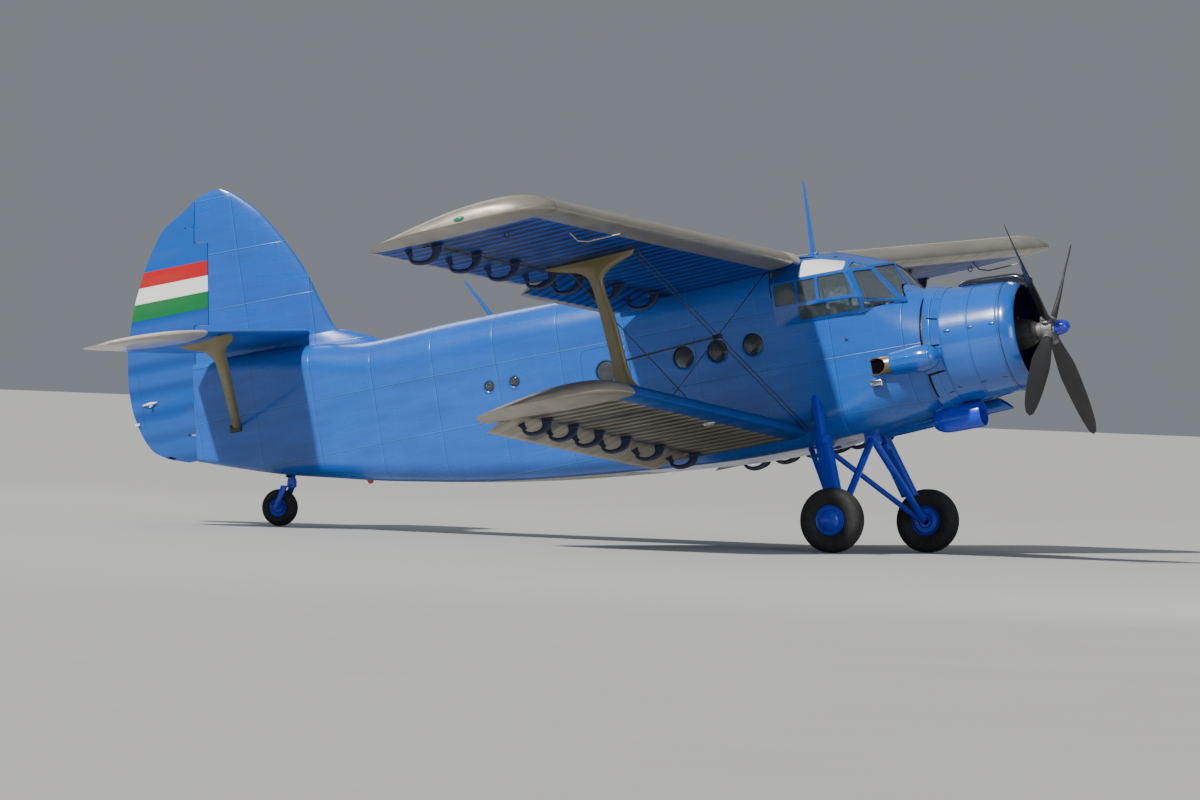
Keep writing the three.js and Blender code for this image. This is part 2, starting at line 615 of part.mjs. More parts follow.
function buildWing(wing) {
  const matrix = wingMatrix(wing);
  const whole = wingSolid(wing);
  const own = surfaces.filter((surface) => surface.wing === wing.name);
  let fixed = whole;
  for (const { from, to } of own) {
    fixed = fixed.subtract(sidePlate(noseOutline(wing, running), from, to));
  }
  for (const { arms } of own) fixed = fixed.add(union(arms.map((y) => hingeArm(wing, y))));
  if (wing.slat) {
    const { from, to } = wing.slat;
    const cut = (gap) => sidePlate(
      [[-355 - gap, 260], [100, 260], [100, -60], [-30 - gap, -60]], from - gap, to + gap,
    );
    addPair('slat', moved(whole.intersect(cut(0)), matrix), 'silver');
    fixed = fixed.subtract(cut(0.5));
  }
  const cutter = union([fuselageClearance, canopySolid(-fit)]);
  addPair(`${wing.name}_wing`, moved(fixed, matrix).subtract(cutter), 'silver');
  for (const { name, from, to, droop, arms } of own) {
    const blank = sidePlate(noseOutline(wing, 0), from + running, to - running);
    const surface = whole.intersect(blank).add(union(arms.map((y) => hingeLug(wing, y))));
    const swing = new THREE.Matrix4().makeTranslation(wing.hingeX, 0, wing.hingeZ)
      .multiply(new THREE.Matrix4().makeRotationY(-deg(droop)))
      .multiply(new THREE.Matrix4().makeTranslation(-wing.hingeX, 0, -wing.hingeZ));
    addPair(name, moved(surface, matrix.clone().multiply(swing)), 'blue');
  }
}

// Interplane struts with their spread ends, and the main bracing wires
function buildBracing() {
  const side = [
    [-800, 3640], [-830, 3490], [-1130, 3370], [-1262, 3250], [-1170, 2690], [-1090, 2030], [-1010, 1900],
    [-850, 1790], [-640, 1740], [-600, 1640], [-1500, 1640], [-1420, 1800], [-1330, 1930], [-1310, 2030],
    [-1360, 2690], [-1440, 3250], [-1580, 3390], [-1850, 3440], [-2000, 3490], [-2050, 3640],
  ];
  const halfStrut = 38;
  const blank = (grow) => sidePlate(side, strutY - halfStrut - grow, strutY + halfStrut + grow);
  const upper = moved(wingSolid(upperWing, 1.006), wingMatrix(upperWing));
  const lower = moved(wingSolid(lowerWing, 1.0015), wingMatrix(lowerWing));
  addPair('interplane_strut', blank(0).subtract(upper).subtract(lower), 'khaki');

  // The flying pair, the landing wire and the steadying rod meet in a clamp where they cross
  const stays = {
    flyingTop: [-850, strutY - 50, 3560], flyingFoot: [-440, 840, 1290], spread: 30,
    landingTop: [-675, 700, 3400], landingFoot: [-640, strutY - 100, 1720],
    rearTop: [-1760, strutY - 50, 3500], rearFoot: [-1500, 840, 1310], clampY: 2890, wireR: 7,
  };
  const shift = ([x, y, z], dx) => [x + dx, y, z];
  const across = (start, end, y) => {
    const share = (y - start[1]) / (end[1] - start[1]);
    return start.map((value, i) => value + share * (end[i] - value));
  };
  const wires = [-stays.spread, stays.spread].map(
    (dx) => rod(shift(stays.flyingTop, dx), shift(stays.flyingFoot, dx), stays.wireR, 6),
  );
  const landing = rod(stays.landingTop, stays.landingFoot, stays.wireR, 6);
  const crossing = across(stays.flyingTop, stays.flyingFoot, stays.clampY);
  const clamp = rod(shift(crossing, -60), shift(crossing, 60), 34, 8);
  const steady = rod(crossing, [-1220, strutY, 2230], 13, 8);
  const outside = union([fuselageClearance, canopySolid(-fit), upper, lower]);
  const strutRoom = blank(fit);
  const crossed = union([...wires, landing, clamp, steady]);
  addPair('bracing_wires', crossed.subtract(outside).subtract(strutRoom), 'steel');
  const rear = rod(stays.rearTop, stays.rearFoot, stays.wireR, 6);
  addPair('rear_flying_wire', rear.subtract(outside).subtract(strutRoom), 'steel');
}

// Fin, rudder, tailplane and elevators
const tailStations = [
  // y, leading edge, trailing edge, thickness
  { y: 0, lead: -7230, trail: -8940, thick: 195 },
  { y: 2800, lead: -7610, trail: -8930, thick: 140 },
  { y: 3300, lead: -7880, trail: -8900, thick: 105 },
  { y: 3520, lead: -8150, trail: -8800, thick: 60 },
  { y: 3600, lead: -8400, trail: -8650, thick: 24 },
];
const symmetric = [
  // share of chord, half thickness as a share of the full thickness
  [0, 0], [0.02, 0.2], [0.08, 0.36], [0.25, 0.5], [0.45, 0.47], [0.7, 0.28], [1, 0.03],
];

function symmetricRing(place, lead, trail, thick) {
  const rows = symmetric.map(([share, half]) => [lead - share * (lead - trail), half * thick]);
  const upper = rows.map(([x, z]) => place(x, z));
  const lower = rows.slice(1).reverse().map(([x, z]) => place(x, -z));
  return [...upper, ...lower];
}

const tail = {
  finStations: [
    // z, leading edge, trailing edge, thickness
    { z: 2385, lead: -8700, trail: -9200, thick: 50 },
    { z: 2480, lead: -8600, trail: -9480, thick: 90 },
    { z: 2630, lead: -8550, trail: -9697, thick: 110 },
    { z: 3050, lead: -8500, trail: -9860, thick: 140 },
    { z: 3441, lead: -6600, trail: -9888, thick: 190 },
    { z: 3714, lead: -6880, trail: -9858, thick: 185 },
    { z: 4032, lead: -7016, trail: -9793, thick: 175 },
    { z: 4669, lead: -7256, trail: -9550, thick: 150 },
    { z: 5354, lead: -7681, trail: -9105, thick: 105 },
    { z: 5590, lead: -7920, trail: -8720, thick: 75 },
    { z: 5710, lead: -8080, trail: -8520, thick: 48 },
    { z: 5765, lead: -8190, trail: -8330, thick: 20 },
  ],
  balance: { low: 1170, high: 2225, reach: 280 }, // up the rudder's hinge line, and ahead of it
  rudderEyes: [-230, 830, 2420],
  elevator: { from: 110, to: 3290, rearInner: 500 },
  elevatorEyes: [900, 2050, 3150],
  eye: { radius: 26, thick: 16, root: 175 },
};

// Half-round nose about a hinge at the origin, then straight back, in the plane across the hinge
function noseSection(radius, length) {
  return [...arc(0, 0, radius, -90, 90, 10), [-length, radius], [-length, -radius]];
}

function finSolid(grow) {
  const rings = tail.finStations.map(({ z, lead, trail, thick }) => symmetricRing(
    (x, y) => new THREE.Vector3(x, y, z), lead, trail, thick + 2 * grow,
  ));
  return loft(rings, ['x', 'y']);
}

// Frame on the rudder's hinge line: z up the line, x forward
function rudderFrame() {
  const turn = new THREE.Matrix4().makeRotationY(deg(rudderHinge.lean));
  return new THREE.Matrix4().makeTranslation(rudderHinge.x, 0, rudderHinge.z).multiply(turn);
}

function rudderRegion(grow) {
  const { low, high, reach } = tail.balance;
  const body = planPlate(noseSection(rudderHinge.noseR + grow, 1500), -1200, 3500);
  const balance = box([-100, reach + grow], [-250, 250], [low - grow, high + grow]);
  return moved(body.add(balance), rudderFrame());
}

// Plates up the rudder's hinge line: the eyes, and the slots that they stand in
function rudderPlates(half, front, gap) {
  const { thick, root } = tail.eye;
  const plates = tail.rudderEyes.map((z) => box(
    [-front, root], [-half, half], [z - thick / 2 - gap, z + thick / 2 + gap],
  ));
  return moved(union(plates), rudderFrame());
}

function buildTail() {
  const { x: hingeX, z: hingeZ, noseR } = elevatorHinge;
  const { from, to, rearInner } = tail.elevator;
  const { radius, thick } = tail.eye;
  const whole = finSolid(0);
  const finRoom = bothSides(finSolid(fit));
  const rudderRoom = rudderRegion(running);
  const eyes = rudderPlates(radius, radius, 0);
  const slots = rudderPlates(200, radius + 16, fit);
  const tubeR = 30;
  const tubeBore = rod([hingeX, -200, hingeZ], [hingeX, 200, hingeZ], tubeR + 1, 24);
  const cone = fuselage(tailConeX - fit, -9060).subtract(rudderRoom);
  const lowEye = eyes.intersect(box([-9300, -8800], [-200, 200], [2400, 3100]));
  const highEyes = eyes.intersect(box([-9300, -8400], [-200, 200], [3645, 6000]));
  add('tail_cone', cone.add(lowEye), 'blue');
  const belowFin = box([-9800, -6000], [-300, 300], [2000, 3400]);
  const fin = whole.subtract(rudderRoom).add(highEyes).subtract(belowFin).subtract(fuselageClearance);
  add('fin', fin.subtract(tubeBore), 'blue');
  add('rudder', whole.intersect(rudderRegion(0)).subtract(slots), 'blue');

  const planeSolid = (grow) => loft(tailStations.map(({ y, lead, trail, thick: depth }) => symmetricRing(
    (x, z) => new THREE.Vector3(x, y, hingeZ + z), lead, trail, depth + 2 * grow,
  )), ['x', 'z']);
  const half = planeSolid(0);
  const nose = (grow, start, end) => moved(
    sidePlate(noseSection(noseR + grow, 1500), start, end),
    new THREE.Matrix4().makeTranslation(hingeX, 0, hingeZ),
  );
  const planePlates = (tall, rear, gap) => union(tail.elevatorEyes.map((y) => box(
    [hingeX - rear, hingeX + 120], [y - thick / 2 - gap, y + thick / 2 + gap], [hingeZ - tall, hingeZ + tall],
  )));
  const plane = half.subtract(nose(running, 0, to + running)).add(planePlates(radius, radius, 0));
  addPair('tailplane', plane.subtract(finRoom).subtract(fuselageClearance), 'blue');

  // Both elevators turn together on a tube through the fin
  const rudderSweep = planPlate(
    [[-8480, -50], [-9300, -50], [-9300, 800], [-8940, rearInner], [-8480, 170]], 3000, 4500,
  );
  const port = half.intersect(nose(0, from, to)).subtract(rudderSweep)
    .subtract(planePlates(150, radius + 16, fit));
  const starboard = moved(port, new THREE.Matrix4().makeScale(1, -1, 1));
  const tube = rod([hingeX, -from - 20, hingeZ], [hingeX, from + 20, hingeZ], tubeR, 24);
  add('elevators', union([port, starboard, tube]), 'blue');

  const strutRows = [
    // z, y, front, rear, thickness across
    { z: 3700, y: 2200, front: -7370, rear: -8150, thick: 70 },
    { z: 3630, y: 2080, front: -7420, rear: -8100, thick: 80 },
    { z: 3540, y: 1900, front: -7620, rear: -7880, thick: 90 },
    { z: 3420, y: 1660, front: -7720, rear: -7890, thick: 95 },
    { z: 2680, y: 180, front: -8330, rear: -8440, thick: 85 },
  ];
  const strut = loft(strutRows.map((row) => symmetricRing(
    (x, y) => new THREE.Vector3(x, row.y + y, row.z), row.front, row.rear, row.thick,
  )), ['x', 'y']);
  addPair('tailplane_strut', strut.subtract(planeSolid(fit)).subtract(fuselageClearance), 'khaki');
}

const tyreFacets = 28;
const hubFacets = 20;

// Main landing gear: shock strut with its axle, half axles to the belly, rear braces
function buildMainGear() {
  const { x, y, z, axle, radius, width, rim } = mainWheel;
  const knuckle = { inner: 1420, outer: 1535, radius: 72 };
  const foot = [x, (knuckle.inner + knuckle.outer) / 2, z];
  const hubDepth = 70;
  // The fairing round the leg, which leaves only the lower end of its rod bare
  const fairingRows = [
    // z, y, front, rear, thickness across
    { z: 1190, y: 1040, front: -95, rear: -305, thick: 130 },
    { z: 420, y: 1344, front: 55, rear: -175, thick: 124 },
  ];
  const fairing = (grow) => loft(fairingRows.map((row) => symmetricRing(
    (along, across) => new THREE.Vector3(along, row.y + across, row.z),
    row.front + grow, row.rear - grow, row.thick + 2 * grow,
  )), ['x', 'y']);
  const shockStrut = (grow) => union([
    rod([-300, 790, 1740], [-182, 1095, 1080], 78 + grow, 14), rod([-200, 1040, 1170], foot, 50 + grow, 12),
    fairing(grow),
    rod([x, knuckle.inner - grow, z], [x, knuckle.outer + grow, z], knuckle.radius + grow, 16),
    rod([x, knuckle.outer - 10, z], [x, y + hubDepth - 0.5, z], axle + grow, hubFacets),
  ]);
  addPair('shock_strut', shockStrut(0).subtract(fuselageClearance), 'blue');
  const strutRoom = bothSides(shockStrut(fit));
  const bracket = box([-20, 150], [-75, 75], [1040, 1200]);
  const halfAxle = (grow) => rod([60, 30, 1110], [x + 20, foot[1], z + 20], 46 + grow, 12);
  const vee = bracket.add(bothSides(halfAxle(0))).subtract(fuselageClearance);
  add('half_axles', vee.subtract(strutRoom), 'blue');
  const brace = rod([-675, 250, 1140], [x - 20, foot[1], z + 10], 34, 10);
  addPair('rear_brace', brace.subtract(union([fuselageClearance, strutRoom, halfAxle(fit)])), 'blue');

  const half = width / 2;
  const tyre = turned([
    [rim, -85], [300, 4 - half], [365, 14 - half], [radius, -55], [radius, 55],
    [365, half - 14], [300, half - 4], [rim, 85], [rim, -85],
  ], [x, y, z], [0, 1, 0], tyreFacets);
  addPair('main_tyre', tyre, 'black');
  const bore = axle / Math.cos(Math.PI / hubFacets) + fit;
  const seat = rim * Math.cos(Math.PI / tyreFacets) - fit;
  const hub = turned([
    [0, hubDepth], [bore, hubDepth], [bore, -95], [80, -95], [90, -55], [180, -60], [seat, -80],
    [seat, 80], [195, 84], [165, 70], [150, 70], [135, 100], [95, 134], [0, 150],
  ], [x, y, z], [0, 1, 0], hubFacets);
  addPair('main_hub', hub, 'blue');
}

// Tail wheel on a castor whose swivel stands upright on the ground
function buildTailGear() {
  const frame = new THREE.Matrix4().makeTranslation(castor.x, 0, castor.z)
    .multiply(new THREE.Matrix4().makeRotationY(groundAngle));
  const centre = new THREE.Vector3(tailWheel.x, 0, tailWheel.z).applyMatrix4(frame.clone().invert());
  const leg = union([rod([0, 0, fit], [0, 0, 60], 62, 16), rod([0, 0, 40], [-30, 0, 330], 48, 12)]);
  add('tail_leg', moved(leg, frame).subtract(fuselageClearance), 'blue');
  const { radius, width, rim, axle } = tailWheel;
  const inner = width / 2 + 14;
  const outer = inner + 18;
  const crown = union([
    rod([0, 0, -26], [0, 0, 0], 62, 16), box([centre.x + 60, 0], [-outer, outer], [-26, -4]),
  ]);
  const cheek = [
    [centre.x + 150, -4], [centre.x + 60, -4], [centre.x - 30, centre.z + 5], [centre.x - 12, centre.z - 32],
    [centre.x + 25, centre.z - 25],
  ];
  const cheeks = [sidePlate(cheek, inner, outer), sidePlate(cheek, -outer, -inner)];
  const pin = rod([centre.x, -outer, centre.z], [centre.x, outer, centre.z], axle, hubFacets);
  add('tail_fork', moved(union([crown, ...cheeks, pin]), frame), 'blue');
  const half = width / 2;
  const hubPlace = [tailWheel.x, 0, tailWheel.z];
  add('tail_tyre', turned([
    [rim, -60], [165, 4 - half], [215, 14 - half], [radius, -30], [radius, 30], [215, half - 14],
    [165, half - 4], [rim, 60], [rim, -60],
  ], hubPlace, [0, 1, 0], tyreFacets), 'black');
  const bore = axle / Math.cos(Math.PI / hubFacets) + fit;
  const seat = rim * Math.cos(Math.PI / tyreFacets) - fit;
  add('tail_hub', turned([
    [bore, -70], [60, -70], [70, -40], [seat, -56], [seat, 56], [70, 40], [60, 70], [bore, 70],
    [bore, -70],
  ], hubPlace, [0, 1, 0], hubFacets), 'blue');
}

function buildPropeller() {
  const { x, hub, blades, restAngle, tipX, rows } = propeller;
  const blade = loft(rows.map(({ r, chord, thick, pitch }) => {
    const [c, s] = [Math.cos(deg(pitch)), Math.sin(deg(pitch))];
    const twist = (a, b) => new THREE.Vector3(a * s + b * c, b * s - a * c, r);
    return symmetricRing(twist, chord / 2, -chord / 2, thick);
  }), ['x', 'y']);
  const place = (i) => new THREE.Matrix4().makeTranslation(x, 0, thrustZ)
    .multiply(new THREE.Matrix4().makeRotationX(deg(restAngle + (360 * i) / blades)));
  const all = Array.from({ length: blades }, (_, i) => moved(blade, place(i)));
  const centre = [0, 0, thrustZ];
  const boss = turned([
    [0, engine.noseX + fit], [105, engine.noseX + fit], [hub, x - 70], [hub, x + 60], [95, x + 90],
    [0, x + 90],
  ], centre, [1, 0, 0], 20);
  add('propeller', union([boss, ...all]), 'grey');
  add('spinner_dome', turned([
    [0, tipX], [40, tipX - 8], [72, tipX - 40], [88, tipX - 90], [90, x + 90 + fit], [0, x + 90 + fit],
  ], centre, [1, 0, 0], 20), 'blue');
}

buildCockpit();
buildCabin();
buildNose();
buildWing(upperWing);
buildWing(lowerWing);
buildBracing();
buildTail();
buildMainGear();
buildTailGear();
buildPropeller();

// Set the level airframe down on its wheels, the middle of its length over the origin
airframe.rotation.y = -groundAngle;
const reach = new THREE.Box3().setFromObject(airframe, true);
airframe.position.set(-(reach.min.x + reach.max.x) / 2, 0, -reach.min.z);

const aircraft = new THREE.Group();
aircraft.add(airframe);

export default aircraft;
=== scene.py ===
# A blue utility biplane parked on its wheels: finishes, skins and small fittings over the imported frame.
# Shapes are drawn in the level airframe's own axes, in metres, and then set down on the wheels.
import bpy
import bmesh
import json
from math import atan2, copysign, cos, pi, radians, sin, sqrt, tan, tau
from mathutils import Matrix, Vector


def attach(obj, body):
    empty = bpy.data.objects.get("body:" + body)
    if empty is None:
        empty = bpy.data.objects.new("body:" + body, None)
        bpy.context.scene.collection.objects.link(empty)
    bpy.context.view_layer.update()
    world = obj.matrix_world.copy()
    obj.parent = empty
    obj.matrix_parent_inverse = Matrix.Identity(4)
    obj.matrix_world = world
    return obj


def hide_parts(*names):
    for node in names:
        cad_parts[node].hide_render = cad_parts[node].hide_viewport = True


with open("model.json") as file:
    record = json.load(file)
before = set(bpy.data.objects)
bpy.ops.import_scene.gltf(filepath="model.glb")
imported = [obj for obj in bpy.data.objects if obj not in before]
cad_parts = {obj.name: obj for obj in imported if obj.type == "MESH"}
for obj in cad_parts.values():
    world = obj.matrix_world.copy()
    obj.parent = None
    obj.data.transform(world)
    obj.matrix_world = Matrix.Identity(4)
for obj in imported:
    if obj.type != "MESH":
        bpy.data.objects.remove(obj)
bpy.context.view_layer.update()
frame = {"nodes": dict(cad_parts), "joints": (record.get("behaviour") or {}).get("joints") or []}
print("frame loaded")

# The level airframe's axes, found again from the propeller's shaft
thrust = {"x": 2.590, "z": 2.065}
shaft = next(joint for joint in frame["joints"] if joint["name"] == "propeller_spin")
pitch = atan2(shaft["axis"][2], shaft["axis"][0])
turnDown = Matrix.Rotation(-pitch, 4, "Y")
toRow = Matrix.Translation(Vector(shaft["pos_m"]) - turnDown @ Vector((thrust["x"], 0, thrust["z"]))) @ turnDown
mirrorY = Matrix.Scale(-1, 4, (0, 1, 0))
sides = {"port": 1, "starboard": -1}


# Small helpers for meshes
def scratch(bm, name="scratch"):
    mesh = bpy.data.meshes.new(name)
    bm.to_mesh(mesh)
    bm.free()
    made = bpy.data.objects.new(name, mesh)
    bpy.context.scene.collection.objects.link(made)
    return made


def backToBmesh(made):
    bm = bmesh.new()
    bm.from_mesh(made.data)
    drop(made)
    return bm


def drop(made):
    mesh = made.data
    bpy.data.objects.remove(made)
    bpy.data.meshes.remove(mesh)


def settle(made):
    depsgraph = bpy.context.evaluated_depsgraph_get()
    mesh = bpy.data.meshes.new_from_object(made.evaluated_get(depsgraph))
    old = made.data
    made.modifiers.clear()
    made.data = mesh
    bpy.data.meshes.remove(old)
    return made


# Boolean with the other bmeshes one by one, which are used up
def combine(bm, others, operation):
    body = scratch(bm)
    for other in others:
        tool = scratch(other, "tool")
        knife = body.modifiers.new("knife", "BOOLEAN")
        knife.operation = operation
        knife.solver = "EXACT"
        knife.object = tool
        settle(body)
        drop(tool)
    return backToBmesh(body)


def carve(bm, *cutters, keep=False):
    return combine(bm, cutters, "INTERSECT" if keep else "DIFFERENCE")


def join(*parts):
    whole = bmesh.new()
    for part in parts:
        mesh = bpy.data.meshes.new("part")
        part.to_mesh(mesh)
        part.free()
        whole.from_mesh(mesh)
        bpy.data.meshes.remove(mesh)
    return whole


def moved(bm, matrix):
    bm.transform(matrix)
    if matrix.determinant() < 0:
        bmesh.ops.reverse_faces(bm, faces=bm.faces)
    return bm


def tidyNormals(bm):
    bmesh.ops.remove_doubles(bm, verts=bm.verts, dist=0.00002)
    bmesh.ops.recalc_face_normals(bm, faces=bm.faces)
    return bm


def shadeByAngle(bm, angle):
    for face in bm.faces:
        face.smooth = True
    for edge in bm.edges:
        if len(edge.link_faces) == 2 and edge.calc_face_angle(0) > radians(angle):
            edge.smooth = False
    return bm


def place(bm, name, material, replaces=(), sharp=34, body="airframe", recalc=True, level=True):
    if recalc:
        tidyNormals(bm)
    shadeByAngle(bm, sharp)
    if level:
        bm.transform(toRow)
    piece = scratch(bm, name.replace(" ", "_"))
    piece.data.materials.append(material)
    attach(piece, body)
    if replaces:
        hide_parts(*replaces)
    return piece


def bevelEdges(bm, width, segments=2, angle=30):
    sharp = [edge for edge in bm.edges if edge.calc_face_angle(0) > radians(angle)]
    bmesh.ops.bevel(
        bm, geom=sharp, offset=width, offset_type="OFFSET", affect="EDGES", segments=segments, profile=0.5,
        material=-1, clamp_overlap=True,
    )
    return bm


def block(low, high, bevel=0.0, segments=2):
    bm = bmesh.new()
    size = [b - a for a, b in zip(low, high)]
    middle = [(a + b) / 2 for a, b in zip(low, high)]
    bmesh.ops.create_cube(bm, size=1, matrix=Matrix.Translation(middle) @ Matrix.Diagonal((*size, 1)))
    if bevel:
        bevelEdges(bm, bevel, segments)
    return bm


def along(start, end):
    line = Vector(end) - Vector(start)
    turn = line.to_track_quat("Z", "Y").to_matrix().to_4x4()
    return Matrix.Translation((Vector(start) + Vector(end)) / 2) @ turn, line.length


def rod(start, end, radius, endRadius=None, segments=20):
    bm = bmesh.new()
    matrix, length = along(start, end)
    bmesh.ops.create_cone(
        bm, cap_ends=True, segments=segments, radius1=radius, radius2=radius if endRadius is None else endRadius,
        depth=length, matrix=matrix,
    )
    return bm


def ball(centre, radius, squash=(1, 1, 1), segments=24):
    bm = bmesh.new()
    matrix = Matrix.Translation(centre) @ Matrix.Diagonal((*squash, 1))
    bmesh.ops.create_uvsphere(bm, u_segments=segments, v_segments=segments // 2, radius=radius, matrix=matrix)
    return bm


# Outline in two axes of the airframe, drawn out along the third
def prism(points, start, end, across="y"):
    bm = bmesh.new()
    order = {"y": lambda a, b: (a, start, b), "x": lambda a, b: (start, a, b), "z": lambda a, b: (a, b, start)}
    step = {"y": (0, end - start, 0), "x": (end - start, 0, 0), "z": (0, 0, end - start)}
    verts = [bm.verts.new(order[across](a, b)) for a, b in points]
    bmesh.ops.contextual_create(bm, geom=verts)
    raised = bmesh.ops.extrude_face_region(bm, geom=bm.faces[:])["geom"]
    bmesh.ops.translate(bm, vec=step[across], verts=[item for item in raised if isinstance(item, bmesh.types.BMVert)])
    bmesh.ops.recalc_face_normals(bm, faces=bm.faces)
    return bm


def arc(centreA, centreB, radius, start, end, steps):
    angles = [radians(start + (end - start) * i / steps) for i in range(steps + 1)]
    return [(centreA + radius * cos(angle), centreB + radius * sin(angle)) for angle in angles]


# Profile of (radius, distance along the axis), turned about an axis through centre
def turned(profile, centre, axis=(1, 0, 0), steps=64, closed=False):
    bm = bmesh.new()
    verts = [bm.verts.new((r, 0, t)) for r, t in profile]
    pairs = list(zip(verts, verts[1:]))
    if closed:
        pairs.append((verts[-1], verts[0]))
    edges = [bm.edges.new(pair) for pair in pairs]
    bmesh.ops.spin(
        bm, geom=verts + edges, cent=(0, 0, 0), axis=(0, 0, 1), angle=tau, steps=steps, use_merge=True,
        use_duplicate=False,
    )
    bmesh.ops.remove_doubles(bm, verts=bm.verts, dist=0.00001)
    bmesh.ops.recalc_face_normals(bm, faces=bm.faces)
    turn = Vector(axis).to_track_quat("Z", "Y").to_matrix().to_4x4()
    bm.transform(Matrix.Translation(centre) @ turn)
    return bm


def ringOf(count, radius, first=0.0):
    angles = [tau * (i + first) / count for i in range(count)]
    return [(radius * cos(angle), radius * sin(angle)) for angle in angles]


# A grid wrapped round a body: u runs round it and v along it
def wrapped(at, around, lengthwise, capped=True):
    bm = bmesh.new()
    bmesh.ops.create_grid(bm, x_segments=around, y_segments=lengthwise, size=1)
    for vert in bm.verts:
        vert.co = at((vert.co.x + 1) / 2, (vert.co.y + 1) / 2)
    bmesh.ops.remove_doubles(bm, verts=bm.verts, dist=0.00002)
    if capped:
        bmesh.ops.holes_fill(bm, edges=bm.edges, sides=0)
    bmesh.ops.recalc_face_normals(bm, faces=bm.faces)
    return bm


# Smooth line through the given points, which stay on it
def smoothLine(points, steps=6, closed=False):
    points = [Vector(point) for point in points]
    count = len(points)
    line = []
    for i in range(count if closed else count - 1):
        if closed:
            a, b, c, d = [points[(i + k) % count] for k in (-1, 0, 1, 2)]
        else:
            b, c = points[i], points[i + 1]
            a = points[i - 1] if i else b - (c - b)
            d = points[i + 2] if i + 2 < count else c + (c - b)
        for k in range(steps):
            t = k / steps
            line.append(
                0.5 * (2 * b + (c - a) * t + (2 * a - 5 * b + 4 * c - d) * t ** 2 + (3 * b - a - 3 * c + d) * t ** 3)
            )
    return line if closed else line + [points[-1]]


# Rounded section swept along a line; each half is the section's size in its own plane and towards side
def swept(path, halves, side=(0, 1, 0), around=16, squareness=1.0):
    path = [Vector(point) for point in path]
    side = Vector(side)
    if not isinstance(halves, list):
        halves = [halves] * len(path)

    def point(u, v):
        i = min(round(v * (len(path) - 1)), len(path) - 1)
        tangent = (path[min(i + 1, len(path) - 1)] - path[max(i - 1, 0)]).normalized()
        across = tangent.cross(side).normalized()
        over = across.cross(tangent)
        a, b = halves[i] if isinstance(halves[i], tuple) else (halves[i], halves[i])
        angle = u * tau
        c, s = cos(angle), sin(angle)
        return (
            path[i] + across * a * copysign(abs(c) ** squareness, c)
            + over * b * copysign(abs(s) ** squareness, s)
        )

    return wrapped(point, around, len(path) - 1)


# Body lofted through rows of (place, front, rear, thickness), shaped like a symmetric aerofoil
def streamlined(rows, point, around=36, steps=40, waves=None):
    start, end = rows[0][0], rows[-1][0]

    def at(u, v):
        here = start + (end - start) * v
        front, rear, thick = smoothRow(rows, here)
        outline = u * 2
        share = outline if outline <= 1 else 2 - outline
        sign = 1 if outline <= 1 else -1
        half = smoothRow(symmetric, share)[0] * thick
        if waves:
            half -= waves(here, share * share, front - share * share * (front - rear))
        return point(front - share * share * (front - rear), sign * max(half, 0), here)

    return wrapped(at, around, steps)


# Smooth value between rows of a table, by its first column
def smoothRow(rows, at):
    at = min(max(at, rows[0][0]), rows[-1][0])
    i = max(k for k in range(len(rows) - 1) if rows[k][0] <= at or k == 0)
    before = rows[max(i - 1, 0)]
    low = rows[i]
    high = rows[i + 1]
    after = rows[min(i + 2, len(rows) - 1)]
    gap = high[0] - low[0]
    t = (at - low[0]) / gap
    values = []
    for k in range(1, len(low)):
        slopeLow = (high[k] - before[k]) / (high[0] - before[0]) * gap
        slopeHigh = (after[k] - low[k]) / (after[0] - low[0]) * gap
        rise = high[k] - low[k]
        if (low[k] - before[k]) * rise <= 0:
            slopeLow = 0 if i > 0 else rise
        if (after[k] - high[k]) * rise <= 0:
            slopeHigh = 0 if i + 2 < len(rows) else rise
        values.append(
            (2 * t ** 3 - 3 * t ** 2 + 1) * low[k] + (t ** 3 - 2 * t ** 2 + t) * slopeLow
            + (3 * t ** 2 - 2 * t ** 3) * high[k] + (t ** 3 - t ** 2) * slopeHigh
        )
    return values


# Finishes: a number, vector or colour in a shader reckons like a plain number, and | takes the larger of two
class Value:
    def __init__(self, socket):
        self.socket = socket
        self.tree = socket.id_data

    def calc(self, operation, other=0.0, clamp=False):
        return addNode(self.tree, "Math", {0: self, 1: other}, operation=operation, use_clamp=clamp)

    def __add__(self, other):
        return self.calc("ADD", other)

    def __sub__(self, other):
        return self.calc("SUBTRACT", other)

    def __rsub__(self, other):
        return addNode(self.tree, "Math", {0: other, 1: self}, operation="SUBTRACT")

    def __mul__(self, other):
        return self.calc("MULTIPLY", other)

    def __pow__(self, other):
        return self.calc("POWER", other)

    def __or__(self, other):
        return self.calc("MAXIMUM", other)

    def __abs__(self):
        return self.calc("ABSOLUTE")


def feed(node, name, value):
    if isinstance(value, Value):
        value.tree.links.new(value.socket, node.inputs[name])
    else:
        node.inputs[name].default_value = value


def addNode(tree, kind, inputs=None, output=0, **settings):
    made = tree.nodes.new("ShaderNode" + kind)
    for name, value in settings.items():
        setattr(made, name, value)
    for name, value in (inputs or {}).items():
        feed(made, name, value)
    return Value(made.outputs[output])


def axes(vector):
    return [Value(socket) for socket in addNode(vector.tree, "SeparateXYZ", {0: vector}).socket.node.outputs]


def mapped(vector, matrix):
    moves = {"Vector": vector, "Location": matrix.to_translation(), "Rotation": matrix.to_euler()}
    return addNode(vector.tree, "Mapping", moves)


def coordinates(tree, kind="Object"):
    return addNode(tree, "TexCoord", output=kind)


# Places in the level airframe, or in a wing's own axes when its matrix is given, the same on both sides
def localPlace(tree, matrix=None):
    level = mapped(coordinates(tree), toRow.inverted())
    if matrix is None:
        return level
    x, y, z = axes(level)
    return mapped(addNode(tree, "CombineXYZ", {0: x, 1: abs(y), 2: z}), matrix.inverted())


